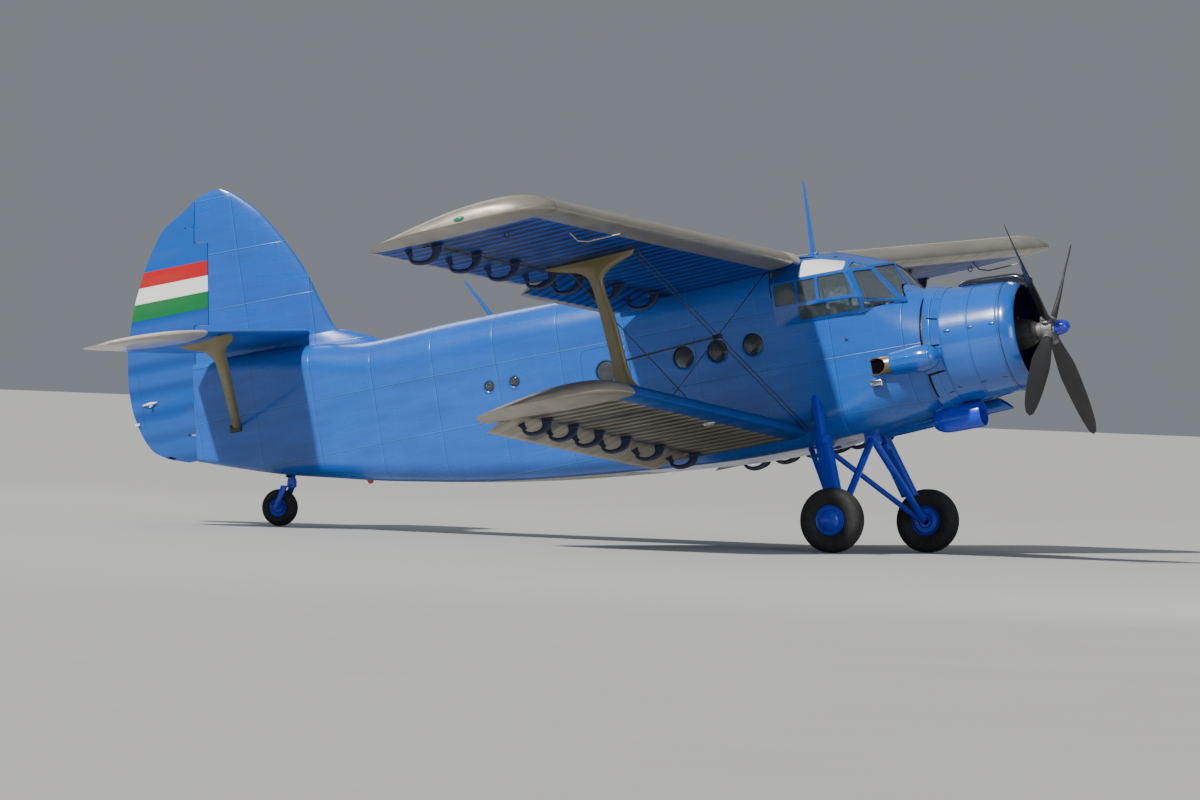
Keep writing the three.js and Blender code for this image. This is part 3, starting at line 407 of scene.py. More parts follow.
# Turns values from low to high into values from first to last
def ramp(value, low, high, first, last, soft=False):
    ends = {0: value, 1: low, 2: high, 3: first, 4: last}
    return addNode(value.tree, "MapRange", ends, interpolation_type="SMOOTHSTEP" if soft else "LINEAR")


# 1 on a line, falling softly to 0 at half its width
def onLine(distance, halfWidth):
    return ramp(distance, 0.0, halfWidth, 1.0, 0.0, soft=True)


# Distance to the nearest of many lines, evenly spaced
def toNearest(value, spacing, offset=0.0):
    share = (value.calc("DIVIDE", spacing) + (0.5 - offset / spacing)).calc("FRACT")
    return abs(share - 0.5) * spacing


# 0 below an edge and 1 above it, or the other way round
def step(value, edge, softness=0.004, rising=True):
    first, last = (0.0, 1.0) if rising else (1.0, 0.0)
    return ramp(value, edge - softness, edge + softness, first, last, soft=True)


def blendColors(share, first, second):
    first, second = [(*end, 1) if isinstance(end, tuple) else end for end in (first, second)]
    return addNode(share.tree, "Mix", {0: share, 6: first, 7: second}, output=2, data_type="RGBA")


def darker(color, share):
    return tuple(part * share for part in color)


def noise(place, scale, detail=3.0, stretch=None):
    if stretch:
        place = addNode(place.tree, "Mapping", {"Vector": place, "Scale": stretch})
    return addNode(place.tree, "TexNoise", {"Vector": place, "Scale": scale, "Detail": detail})


def finish(name, color, rough, metal=0.0, coat=0.0, transmission=0.0, specular=0.5):
    material = bpy.data.materials.new(name)
    material.use_nodes = True
    surface = material.node_tree.nodes["Principled BSDF"]
    facts = {
        "Base Color": (*color, 1), "Roughness": rough, "Metallic": metal, "Coat Weight": coat, "Coat Roughness": 0.12,
        "Transmission Weight": transmission, "Specular IOR Level": specular,
    }
    for key, value in facts.items():
        feed(surface, key, value)
    return material, material.node_tree, surface


def addBump(surface, height, distance, strength=1.0):
    facts = {"Height": height, "Distance": distance, "Strength": strength}
    feed(surface, "Normal", addNode(height.tree, "Bump", facts))


colors = {
    "blue": (0.0, 0.082, 0.40), "deepBlue": (0.002, 0.035, 0.22), "navy": (0.004, 0.011, 0.065),
    "tubeBlue": (0.0, 0.042, 0.62), "silver": (0.42, 0.39, 0.325), "khaki": (0.165, 0.14, 0.052),
    "grey": (0.16, 0.165, 0.17), "black": (0.012, 0.012, 0.013), "steel": (0.42, 0.42, 0.41),
    "red": (0.45, 0.006, 0.008), "white": (0.78, 0.78, 0.76), "green": (0.0, 0.155, 0.035),
    "rubber": (0.016, 0.016, 0.017), "leather": (0.03, 0.028, 0.027),
}

stripes = {"greenLow": 4.29, "whiteLow": 4.50, "redLow": 4.70, "redHigh": 4.89}


# 1 on faces that look inwards, towards the line along the airframe at the given height; the finishes paint shade on
# these faces
def lookingIn(tree, centreZ):
    _, y, z = axes(localPlace(tree))
    _, normalY, normalZ = axes(coordinates(tree, "Normal"))
    return step(y * normalY + (z - centreZ) * normalZ, -0.08, 0.04, rising=False)


# Painted metal sheet with its rivet rows, laps, faint dents and streaks of dirt; painted highlights on rivet heads and
# laps, painted shadows beside the laps, and painted shade on the faces that look inwards
def sheetMetal(name, color, rough=0.3, frames=0.3, stringers=0.235, grime=0.35, dents=0.006, coat=0.55,
               centreZ=2.4, liningAndInnerShade=(0.045, 0.05, 0.05)):
    material, tree, surface = finish(name, color, rough, coat=coat)
    where = localPlace(tree)
    x, _, z = axes(where)
    rivet = {"pitch": 0.042, "radius": 0.008}
    upright = (toNearest(x, frames) ** 2 + toNearest(z, rivet["pitch"]) ** 2).calc("SQRT")
    level = (toNearest(z, stringers) ** 2 + toNearest(x, rivet["pitch"]) ** 2).calc("SQRT")
    heads = onLine(upright, rivet["radius"]) | onLine(level, rivet["radius"])
    laps = onLine(toNearest(x, frames * 3, 0.03), 0.007) | onLine(toNearest(z, stringers * 3, 0.02), 0.007)
    # painted shadows: a thin dark line beside each lap, added to the streaks of dirt below
    shadows = onLine(toNearest(x, frames * 3, 0.042), 0.006) | onLine(toNearest(z, stringers * 3, 0.008), 0.006)
    addBump(surface, heads * 0.22 + laps * -0.5 + noise(where, 2.6, 2.0) * (dents / 0.004), 0.004, 0.8)
    streaks = noise(where, 5.0, 6.0, (0.25, 1, 1.6))
    dirtAndLapShadows = ramp(streaks, 0.45, 0.8, 0.0, grime).calc("ADD", shadows * 0.9, clamp=True)
    base = blendColors(noise(where, 0.9, 2.0), color, tuple(min(1, part * 1.25 + 0.01) for part in color))
    # painted highlights: rivet heads and laps paler
    base = blendColors(heads * 0.6 | laps * 0.35, base, (0.06, 0.30, 0.66))
    base = blendColors(dirtAndLapShadows, base, darker(color, 0.35))
    # painted shade: faces that look inwards take the dark inner colour
    feed(surface, "Base Color", blendColors(lookingIn(tree, centreZ), base, liningAndInnerShade))
    feed(surface, "Roughness", ramp(streaks, 0.3, 0.8, rough * 0.8, rough * 1.5))
    return material


# Plain paint on castings, tubes and small fittings, rubbed and a little dirty, with painted shade on the faces that
# look inwards when centreZ is given
def plainPaint(name, color, rough=0.35, metal=0.0, coat=0.3, grain=0.0006, scale=14.0, grime=0.4, centreZ=None,
               liningAndInnerShade=(0.02, 0.022, 0.025), specular=0.5):
    material, tree, surface = finish(name, color, rough, metal, coat, specular=specular)
    where = coordinates(tree)
    patches = noise(where, scale, 5.0)
    base = blendColors(ramp(patches, 0.42, 0.75, 0.0, grime), color, darker(color, 0.35))
    if centreZ:
        # painted shade on the faces that look inwards
        base = blendColors(lookingIn(tree, centreZ), base, liningAndInnerShade)
    feed(surface, "Base Color", base)
    feed(surface, "Roughness", ramp(patches, 0.3, 0.8, rough * 0.75, min(rough * 1.5, 1)))
    addBump(surface, noise(where, scale * 12, 2.0), grain, 0.7)
    return material


# Doped cloth on a wing: colour above, colour below, metal leading edge and tip, tapes on the ribs
def wingCloth(name, matrix, shades, edgeX, tipY, ribs, hollowShade, slotX):
    above, below, edge, tip = shades["above"], shades["below"], shades["edge"], colors["silver"]
    material, tree, surface = finish(name, above, 0.5, specular=0.15)
    where = localPlace(tree, matrix)
    x, y, z = axes(where)
    under = step(z, 0.003, 0.002, rising=False)
    blotches = noise(where, 3.0, 4.0)
    dull = blendColors(under, darker(above, 0.72), darker(below, 0.6))
    cloth = blendColors(ramp(blotches, 0.3, 0.75, 0.0, 0.35), blendColors(under, above, below), dull)
    # the shaded side of each hollow between two ribs, strong underneath and faint on top
    hollows = onLine(toNearest(y, ribs, 0.36 * ribs), 0.42 * ribs)
    deep = blendColors(under, darker(above, 0.5), darker(below, 0.12))
    cloth = blendColors(hollows * ramp(under, 0.0, 1.0, 0.25, hollowShade), cloth, deep)
    # underneath, the shade of the hinge line's slot and of the wing strut
    slot = onLine(abs(x - slotX), 0.18)
    band = step(y, 4.86) * step(y, 5.22, 0.06, rising=False)
    cloth = blendColors((slot | band * 0.6) * under, cloth, (0.006, 0.010, 0.022))
    front = step(x, edgeX, 0.002) * step(y, shades["edgeRoot"], 0.002)
    outer = step(y, tipY, 0.002)
    streaks = noise(where, 4.0, 5.0, (1.5, 0.3, 1))
    cloth = blendColors(front, cloth, blendColors(streaks, edge, darker(edge, 0.62)))
    cloth = blendColors(outer, cloth, blendColors(streaks, tip, darker(tip, 0.62)))
    cloth = blendColors(onLine(abs(y - tipY), 0.012), cloth, (0.004, 0.004, 0.005))
    feed(surface, "Base Color", cloth)
    feed(surface, "Metallic", outer * 0.6 | front * shades["edgeMetal"])
    tapes = onLine(toNearest(y, ribs), 0.016)
    stitches = onLine(toNearest(x, 0.06), 0.012)
    seam = onLine(abs(y - tipY), 0.006)
    onCloth = (tapes + stitches * tapes) * 0.35 * (1.0 - (front | outer))
    addBump(surface, onCloth + noise(where, 90.0, 2.0) * 0.12 + seam * -1.2, 0.002, 0.7)
    feed(surface, "Roughness", ramp(blotches, 0.3, 0.8, 0.34, 0.55))
    return material


# Tailplane: blue inboard, bare silver outboard of the strut
def tailFinish(name, silverFrom=2.5):
    blue, silver = colors["blue"], colors["silver"]
    material, tree, surface = finish(name, blue, 0.32, coat=0.4)
    where = localPlace(tree)
    y = axes(where)[1]
    shade = ramp(noise(where, 5.0, 4.0), 0.35, 0.75, 0.0, 0.4)
    inboard, outboard = blendColors(shade, blue, darker(blue, 0.6)), blendColors(shade, silver, darker(silver, 0.65))
    feed(surface, "Base Color", blendColors(step(abs(y), silverFrom, 0.004), inboard, outboard))
    addBump(surface, onLine(toNearest(y, 0.28), 0.014) * 0.3 + noise(where, 80.0, 2.0) * 0.12, 0.002, 0.7)
    return material


rudderTab = {"aft": 9.73, "low": 2.93, "high": 3.66}


# Rudder: doped blue with a red, white and green band, its trim tab outlined, and painted shade in the hollows between
# its ribs
def rudderFinish(name, ribs=0.31, firstRib=2.35):
    blue, aft, low, high = colors["blue"], rudderTab["aft"], rudderTab["low"], rudderTab["high"]
    material, tree, surface = finish(name, blue, 0.32, coat=0.45)
    where = localPlace(tree)
    x, _, z = axes(where)
    # painted shade: one side of each hollow between two ribs is darker, with random blotches
    hollows = onLine(toNearest(z, ribs, (firstRib + 0.10) % ribs), 0.13)
    shade = ramp(noise(where, 4.0, 4.0), 0.35, 0.8, 0.0, 0.35) | hollows * 0.9
    base = blendColors(shade, blue, darker(blue, 0.62))
    for edge, color in (("greenLow", "green"), ("whiteLow", "white"), ("redLow", "red"), ("redHigh", "blue")):
        base = blendColors(step(z, stripes[edge], 0.002), base, colors[color])
    front = onLine(abs(x + aft), 0.004) * (step(z, low) * step(z, high, rising=False))
    foot, top = [onLine(abs(z - edge), 0.004) * step(x, -aft, 0.002, rising=False) for edge in (low, high)]
    gap = front | (foot | top)
    feed(surface, "Base Color", blendColors(gap, base, (0.004, 0.02, 0.10)))
    tapes = onLine(toNearest(z, ribs, firstRib % ribs), 0.014)
    addBump(surface, tapes * 0.3 + noise(where, 80.0, 2.0) * 0.12 + gap * -1.0, 0.002, 0.7)
    return material


def rubberFinish(name):
    material, tree, surface = finish(name, colors["rubber"], 0.75)
    where = coordinates(tree)
    dust = ramp(noise(where, 18.0, 5.0), 0.45, 0.8, 0.0, 0.5)
    feed(surface, "Base Color", blendColors(dust, colors["rubber"], (0.06, 0.055, 0.045)))
    addBump(surface, noise(where, 220.0, 2.0), 0.0008, 0.6)
    return material


def glassFinish(name, tint=(0.75, 0.85, 0.88), rough=0.03):
    material, tree, surface = finish(name, tint, rough, transmission=0.9)
    feed(surface, "IOR", 1.35)
    where = coordinates(tree)
    feed(surface, "Roughness", ramp(noise(where, 7.0, 4.0), 0.4, 0.8, rough, rough + 0.12))
    addBump(surface, noise(where, 2.0, 1.0), 0.002, 0.3)
    return material


blueSheet = sheetMetal("blue fuselage sheet", colors["blue"], coat=0.4)
# painted shade: the inside of the cowling and of its lip ring is painted a deep violet navy
cowlInside = {"centreZ": thrust["z"], "liningAndInnerShade": (0.010, 0.006, 0.06)}
blueCowl = sheetMetal("blue cowling sheet", colors["blue"], 0.2, 0.42, 3.0, 0.25, 0.003, 0.8, **cowlInside)
bluePaint = plainPaint("blue paint on tubes", colors["tubeBlue"], 0.3, coat=0.25, grime=0.25)
lipPaint = plainPaint("blue lip paint", colors["blue"], 0.22, coat=0.8, grime=0.15, **cowlInside)
framePaint = plainPaint("blue paint on small pieces", colors["blue"], 0.28, coat=0.6, grime=0.15)
# painted shade on the frames' inner faces, seen through the panes
canopyPaint = plainPaint("blue paint on frames", colors["blue"], 0.3, coat=0.5, grime=0.2, centreZ=2.9)
spinnerPaint = plainPaint("violet blue spinner", (0.010, 0.020, 0.42), 0.2, coat=0.7, grime=0.15)
whitePaint = plainPaint("white paint", colors["white"], 0.35, grime=0.2)
strutPaint = plainPaint("olive wing strut", colors["khaki"], 0.36, coat=0.4, scale=3.0, grime=0.2)
scoopPaint = plainPaint("black scoop paint", (0.006, 0.009, 0.022), 0.2, coat=0.8, grime=0.2)
bladePaint = plainPaint("black blade paint", (0.018, 0.018, 0.020), 0.42, coat=0.1, scale=5.0)
greyCasting = plainPaint("grey casting", (0.20, 0.20, 0.20), 0.5, 0.6, 0.0, grain=0.0012, scale=12.0)
# painted shade: the engine case is near black, standing in for the shade inside the cowling
shadedCaseMetal = plainPaint("engine case metal in painted shade", (0.028, 0.028, 0.034), 0.55, 0.3, 0.0, grain=0.0012, scale=12.0)
darkCasting = plainPaint("dark cylinder metal", (0.06, 0.06, 0.062), 0.5, 0.6, 0.0, scale=12.0)
brassTube = plainPaint("heat-tinted steel rim", (0.32, 0.25, 0.13), 0.35, 0.9, 0.0, scale=10.0)
polished = plainPaint("polished metal", (0.62, 0.66, 0.72), 0.16, 1.0, 0.0, grime=0.1)
wireSteel = plainPaint("dark wire steel", (0.09, 0.085, 0.08), 0.4, 0.8, 0.0)
stripSilver = plainPaint("silver strip", colors["silver"], 0.4, 0.4, 0.1, scale=4.0, grime=0.3)
dialFace = plainPaint("dial faces", (0.05, 0.05, 0.05), 0.25, coat=0.4, scale=30.0)
beltWeb = plainPaint("belt webbing", (0.14, 0.13, 0.10), 0.8, coat=0.0, grain=0.002, scale=20.0)
greenLamp = plainPaint("green lamp glass", (0.01, 0.20, 0.11), 0.1, coat=0.9, grime=0.1)
redLamp = plainPaint("red lamp glass", (0.45, 0.012, 0.012), 0.1, coat=0.9, grime=0.1)
lampGlass = plainPaint("lamp glass", (0.55, 0.58, 0.60), 0.08, 0.3, 0.8, grime=0.1)
deepPaint = plainPaint("deep blue paint", colors["deepBlue"], 0.3, coat=0.5)
navyPaint = plainPaint("navy paint on brackets", colors["navy"], 0.38)
khakiPaint = plainPaint("olive paint on struts", colors["khaki"], 0.45, coat=0.15, scale=6.0, grime=0.25)
greyPaint = plainPaint("grey cabin paint", colors["grey"], 0.5, coat=0.0)
blackPaint = plainPaint("black paint", colors["black"], 0.4)
soot = plainPaint("soot", (0.003, 0.003, 0.003), 0.9, coat=0.0, specular=0.05)
steelBare = plainPaint("bare steel", colors["steel"], 0.35, 0.9, 0.0, scale=20.0)
tyreRubber = rubberFinish("tyre rubber")
paneGlass = glassFinish("clear pane", (0.36, 0.43, 0.46))
canopyGlass = glassFinish("canopy pane", (0.42, 0.52, 0.58), 0.02)
seatHide = plainPaint("seat covering", colors["leather"], 0.6, coat=0.0, grain=0.0015, scale=5.0)
print("finishes made")

# Fuselage: a rounded-rectangle section at each station
fuselage = {
    "wall": 0.045, "firewall": 1.15, "cockpitRear": -0.66, "cabinRear": -3.80, "coneFront": -5.0, "tail": -9.06,
    # x, bottom, top, half width, top corner radius, bottom corner radius
    "stations": [
        (-9.06, 2.370, 3.620, 0.062, 0.050, 0.050), (-7.93, 2.026, 3.620, 0.290, 0.230, 0.160),
        (-7.13, 1.839, 3.560, 0.440, 0.330, 0.220), (-6.31, 1.660, 3.458, 0.585, 0.400, 0.260),
        (-5.00, 1.432, 3.495, 0.760, 0.440, 0.280), (-3.80, 1.285, 3.492, 0.868, 0.430, 0.260),
        (-1.73, 1.121, 3.525, 0.870, 0.420, 0.260), (-0.66, 1.108, 3.545, 0.870, 0.420, 0.270),
        (-0.20, 1.155, 3.500, 0.862, 0.440, 0.320), (0.30, 1.195, 3.380, 0.835, 0.500, 0.420),
        (0.88, 1.280, 2.915, 0.765, 0.640, 0.600), (1.15, 1.345, 2.805, 0.730, 0.715, 0.715),
    ],
}


def fuselagePoint(x, turn, inset=0.0):
    bottom, top, half, upper, lower = smoothRow(fuselage["stations"], x)
    half -= inset
    top -= inset
    bottom += inset
    upper = max(min(upper - inset, half - 0.002), 0.012)
    lower = max(min(lower - inset, half - 0.002), 0.012)
    # quarter 0 is the lower starboard-to-port corner, then up the port side and over
    quarter = int(turn * 4) % 4
    angle = (turn * 4 - int(turn * 4)) * pi / 2
    corner = [
        (half - lower, bottom + lower, lower, -pi / 2), (half - upper, top - upper, upper, 0),
        (upper - half, top - upper, upper, pi / 2), (lower - half, bottom + lower, lower, pi),
    ][quarter]
    spread = 0.12  # share of each quarter's points kept for the straight runs
    share = min(max((angle / (pi / 2) - spread) / (1 - 2 * spread), 0), 1) * pi / 2
    y = corner[0] + corner[2] * cos(corner[3] + share)
    z = corner[1] + corner[2] * sin(corner[3] + share)
    if share in (0, pi / 2):
        y, z = straightRun(corner, angle, share, spread, (half, bottom, top, upper, lower), quarter)
    return Vector((x, y, z))


# Points spaced out along the flat sides, roof and floor between two corners
def straightRun(corner, angle, share, spread, section, quarter):
    half, bottom, top, upper, lower = section
    starts = [
        (0, bottom), (half, (bottom + lower + top - upper) / 2), (0, top), (-half, (bottom + lower + top - upper) / 2),
    ]
    begin = starts[quarter]
    finishPoint = starts[(quarter + 1) % 4]
    edge = (
        corner[0] + corner[2] * cos(corner[3] + share), corner[1] + corner[2] * sin(corner[3] + share),
    )
    part = angle / (pi / 2)
    if share == 0:
        t = part / spread
        return tuple(a + (b - a) * t for a, b in zip(begin, edge))
    t = (part - (1 - spread)) / spread
    return tuple(a + (b - a) * t for a, b in zip(edge, finishPoint))


def fuselageBody(front, rear, inset=0.0, around=72, spacing=0.1, capped=True):
    count = max(int((front - rear) / spacing), 2)
    return wrapped(
        lambda u, v: fuselagePoint(front + (rear - front) * v, min(u, 0.999999) if u < 1 else 0.0, inset),
        around, count, capped,
    )


# Ends of the body that fittings are cut against, which stand on it with a hair's breadth between
snug = -0.0003


def noseEnd(inset=snug, rear=-2.0):
    return fuselageBody(fuselage["firewall"], rear, inset)


def tailEnd(inset=0.0, around=72, spacing=0.12, front=-6.0):
    return fuselageBody(front, fuselage["tail"], inset, around, spacing)


# Skin with its wall: the inner face is cut out of the outer body
def fuselageSkin(front, rear, innerFront=None, innerRear=None, around=72):
    inner = fuselageBody(innerFront or front + 0.2, innerRear or rear - 0.2, fuselage["wall"], 48, 0.2)
    return carve(fuselageBody(front, rear, 0.0, around), inner)


canopy = {
    "corners": [
        (-0.64, 0, 3.55), (-0.64, 0.6, 3.47), (-0.03, 0, 3.5), (-0.03, 0.58, 3.415), (0.42, 0, 3.356),
        (0.33, 0.6, 3.318), (0.69, 0, 3.25), (0.61, 0.6, 3.205), (-0.64, 0.885, 3.17), (0.02, 0.95, 3.17),
        (0.39, 0.93, 3.165), (-0.64, 0.89, 2.86), (0, 0.98, 2.86), (0.53, 0.95, 2.816), (-0.64, 0.868, 2.63),
        (-0.3, 0.875, 2.63), (0.5, 0.85, 2.63), (1.0, 0.56, 2.68),
    ],
}


def canopyHull(grow=0.0):
    bm = bmesh.new()
    for x, y, z in canopy["corners"]:
        for side in (1, -1):
            bm.verts.new((x, side * (y + (grow if y else 0)), z + (grow if z > 2.7 else -grow)))
    bmesh.ops.remove_doubles(bm, verts=bm.verts, dist=0.0001)
    hull = bmesh.ops.convex_hull(bm, input=bm.verts)
    bmesh.ops.delete(bm, geom=hull["geom_interior"], context="VERTS")
    bmesh.ops.recalc_face_normals(bm, faces=bm.faces)
    return bm


windows = {
    "z": 2.48, "radius": 0.15, "x": (-0.987, -1.467, -1.926),
    "small": {"z": 2.57, "radius": 0.08, "x": (-4.234, -4.596)},
    "rim": 0.012, "proud": 0.006, "paneShare": 0.925, "bulge": 0.042, "sunk": 0.012,
}
hatch = {"x": -2.974, "half": 0.325, "bottom": 2.06, "top": 2.79, "corner": 0.11, "gap": 0.003}
cargoDoor = {
    "front": -2.19, "rear": -3.72, "bottom": 1.47, "top": 2.93, "gap": 0.007, "corner": 0.07, "windowX": -3.43,
}
passengerDoor = {
    "front": -2.32, "rear": -3.13, "bottom": 1.50, "top": 2.90, "gap": 0.007, "corner": 0.07, "windowX": -2.725,
}
# from inside the skin's flat side to outside it, to port and to starboard
sideRoom = {1: (0.7, 1.0), -1: (-1.0, -0.7)}
liningAndInnerShade = {"inset": 0.046, "floor": (1.75, 1.78), "doorway": [(-4.0, -0.26, 1.43), (-3.6, 0.26, 2.95)],
          "cockpitDoorway": [(-0.8, -0.33, 1.41), (-0.5, 0.33, 2.7)]}


def roundedOutline(x0, x1, z0, z1, radius, steps=6):
    return (
        arc(x1 - radius, z0 + radius, radius, -90, 0, steps) + arc(x1 - radius, z1 - radius, radius, 0, 90, steps)
        + arc(x0 + radius, z1 - radius, radius, 90, 180, steps)
        + arc(x0 + radius, z0 + radius, radius, 180, 270, steps)
    )


def doorOutline(door, grow):
    return roundedOutline(
        door["rear"] - grow, door["front"] + grow, door["bottom"] - grow, door["top"] + grow, door["corner"],
    )


def roundHole(x, z, radius, y0=-1.1, y1=1.1):
    return rod((x, y0, z), (x, y1, z), radius, segments=40)


def skinHalf(x):  # the skin's half width, which its flat sides have from bottom to top
    return smoothRow(fuselage["stations"], x)[2]


def hatchOutline(gap=0.0):
    x, half, low, high = [hatch[key] for key in ("x", "half", "bottom", "top")]
    return roundedOutline(x - half + gap, x + half - gap, low + gap, high - gap, hatch["corner"] - gap)


def skinPanel(front, rear, outline, side):
    return carve(fuselageSkin(front, rear), prism(outline, *sideRoom[side]), keep=True)


# Wall across the cabin, up against the skin's inner face
def crossWall(x0, x1, front, rear):
    return carve(block((x0, -0.9, 1.0), (x1, 0.9, 3.6)), fuselageBody(front, rear, liningAndInnerShade["inset"]), keep=True)


def makeFuselage():
    z, radius, small = windows["z"], windows["radius"], windows["small"]
    openings = [roundHole(x, z, radius) for x in windows["x"]]
    openings += [roundHole(x, small["z"], small["radius"]) for x in small["x"]]
    openings.append(prism(doorOutline(cargoDoor, cargoDoor["gap"]), *sideRoom[1]))
    openings.append(prism(hatchOutline(), *sideRoom[-1]))
    cabin = carve(fuselageSkin(fuselage["cockpitRear"], fuselage["coneFront"]), *openings, canopyHull(0.001))
    place(cabin, "cabin skin", blueSheet, ["cabin_shell"], 30)
    x = fuselage["cabinRear"] - 0.016
    wall = carve(crossWall(x - 0.015, x + 0.015, x + 0.3, x - 0.3), block(*liningAndInnerShade["doorway"], 0.05))
    place(wall, "cabin bulkhead", greyPaint)

    panel = skinPanel(-2.5, -3.45, hatchOutline(hatch["gap"]), -1)
    panel = carve(panel, roundHole(hatch["x"], z, radius, -1.1, -0.6))
    place(panel, "hatch panel", blueSheet, ["emergency_hatch"], 30)
    within = prism(doorOutline(passengerDoor, passengerDoor["gap"]), *sideRoom[1])
    cargo = skinPanel(-2.0, -3.9, doorOutline(cargoDoor, -0.0005), 1)
    cargo = carve(cargo, within, roundHole(cargoDoor["windowX"], z, radius, 0.6, 1.1))
    place(cargo, "cargo door panel", blueSheet, ["cargo_door"], 30, body="cargo_door")
    inner = skinPanel(-2.2, -3.3, doorOutline(passengerDoor, -0.0005), 1)
    inner = carve(inner, roundHole(passengerDoor["windowX"], z, radius, 0.6, 1.1))
    place(inner, "passenger door panel", blueSheet, ["passenger_door"], 30, body="passenger_door")

    cone = carve(tailEnd(front=fuselage["coneFront"]), rudderRegion(rudder["gap"]))
    place(cone, "tail cone skin", blueSheet, ["tail_cone"], 30)

    nose = fuselageSkin(fuselage["firewall"], fuselage["cockpitRear"], fuselage["firewall"] - 0.03, -0.9)
    nose = carve(nose, canopyHull(0.001), block((-0.70, -0.95, 3.0), (0.56, 0.95, 3.7)))
    place(nose, "nose skin", blueSheet, ["nose_shell"], 30)
    low, high = liningAndInnerShade["floor"]
    deck = carve(block((-0.65, -0.85, low), (1.13, 0.85, high)), fuselageBody(1.2, -0.7, liningAndInnerShade["inset"]), keep=True)
    rearWall = carve(crossWall(-0.655, -0.635, -0.4, -0.9), block(*liningAndInnerShade["cockpitDoorway"]), canopyHull(0.001))
    place(join(deck, rearWall), "cockpit deck and bulkhead", greyPaint)


# Bulging round panes with their rims
def makeWindows():
    z, radius, small = windows["z"], windows["radius"], windows["small"]
    lap, proud, share, sunk = windows["rim"], windows["proud"], windows["paneShare"], windows["sunk"]
    spots = [(x, z, radius, "airframe", side) for x in windows["x"] for side in (1, -1)]
    spots += [(x, small["z"], small["radius"], "airframe", side) for x in small["x"] for side in (1, -1)]
    spots += [
        (hatch["x"], z, radius, "airframe", -1), (cargoDoor["windowX"], z, radius, "cargo_door", 1),
        (passengerDoor["windowX"], z, radius, "passenger_door", 1),
    ]
    for i, (x, z, radius, body, side) in enumerate(spots):
        y = skinHalf(x)
        edge = turned([
            (radius - 0.012, -0.05), (radius - 0.012, 0.002), (radius - 0.004, proud), (radius + lap, proud),
            (radius + lap + 0.004, 0.0005), (radius - 0.001, -0.05),
        ], (x, side * y, z), (0, side, 0), 48, closed=True)
        place(edge, f"window rim {i}", framePaint, sharp=50, body=body)
        dome = [(0.0, windows["bulge"] - sunk)]
        for angle in [radians(15 * k) for k in range(1, 7)]:
            dome.append((radius * share * sin(angle), windows["bulge"] * cos(angle) - sunk))
        back = [(r * 0.985, t - 0.005) for r, t in reversed(dome)]
        pane = turned(dome + back, (x, side * (y - 0.014), z), (0, side, 0), 40)
        place(pane, f"window pane {i}", paneGlass, sharp=60, body=body)


# Wings in their own frames: x forward from the leading edge, y outwards along the span
aerofoil = [
    # root of the chord share, upper and lower height as shares of the thickness scale
    (0.0, 0.0, 0.0), (0.1414, 0.040, -0.013), (0.2646, 0.076, -0.018), (0.3873, 0.100, -0.021),
    (0.5477, 0.112, -0.022), (0.6708, 0.105, -0.021), (0.7746, 0.085, -0.018), (0.8944, 0.047, -0.010),
    (1.0, 0.004, -0.003),
]
upperWing = {
    "name": "upper", "x": -0.25, "z": 3.332, "dihedral": 3.4, "incidence": 3, "hinge": (-2.034, -0.085),
    "nose": 0.27, "rib": 0.28, "sag": 0.016, "arm": 0.118,
    # y, leading edge, trailing edge, thickness scale
    "plan": [
        (0.40, 0, -2.45, 2.45), (8.45, 0, -2.45, 2.35), (8.70, -0.03, -2.33, 2.15), (8.93, -0.19, -2.10, 1.70),
        (9.05, -0.45, -1.80, 1.15), (9.09, -0.80, -1.45, 0.50),
    ],
}
lowerWing = {
    "name": "lower", "x": -0.48, "z": 1.205, "dihedral": 4.6, "incidence": 1, "hinge": (-1.66, -0.078),
    "nose": 0.225, "rib": 0.275, "sag": 0.017, "arm": 0.092,
    "plan": [
        (0.40, 0, -2.0, 2.0), (6.35, 0, -2.0, 1.95), (6.70, -0.03, -1.91, 1.75), (6.95, -0.18, -1.72, 1.35),
        (7.08, -0.42, -1.44, 0.85), (7.125, -0.70, -1.15, 0.40),
    ],
}
surfaces = [
    # wing, node, inner and outer end, droop as it stands, hinge arms
    ("upper", "flap_upper", 1.01, 4.02, 18, (1.50, 2.68, 3.86)),
    ("upper", "aileron", 4.03, 8.43, 0, (4.70, 5.85, 7.00, 8.18)),
    ("lower", "flap_lower", 1.01, 6.20, 18, (1.25, 2.35, 3.42, 4.25, 5.05, 5.85)),
]
slat = {"start": 1.0, "end": 8.4, "rear": -0.355, "rearBelow": -0.03, "gap": 0.0005}


def wingMatrix(wing):
    dihedral = Matrix.Rotation(radians(wing["dihedral"]), 4, "X")
    incidence = Matrix.Rotation(-radians(wing["incidence"]), 4, "Y")
    return Matrix.Translation((wing["x"], 0, wing["z"])) @ dihedral @ incidence


def drooped(wing, angle):
    x, z = wing["hinge"]
    swing = Matrix.Rotation(-radians(angle), 4, "Y")
    return Matrix.Translation((x, 0, z)) @ swing @ Matrix.Translation((-x, 0, -z))


# Spanwise places of the rings: six to each bay between ribs, then closer round the tip
def wingRows(wing):
    plan = wing["plan"]
    straight = plan[1][0] - plan[0][0]
    bays = round(straight / wing["rib"])
    rows = []
    for i in range(bays * 6 + 1):
        share = i / (bays * 6)
        hollow = sin(pi * (i % 6) / 6) ** 0.8 if i % 6 else 0
        rows.append([a + (b - a) * share for a, b in zip(plan[0], plan[1])] + [hollow])
    for near, far in zip(plan[1:], plan[2:]):
        for k in range(1, 4):
            y = near[0] + (far[0] - near[0]) * k / 3
            rows.append([y, *smoothRow(plan[1:], y), 0])
    return rows


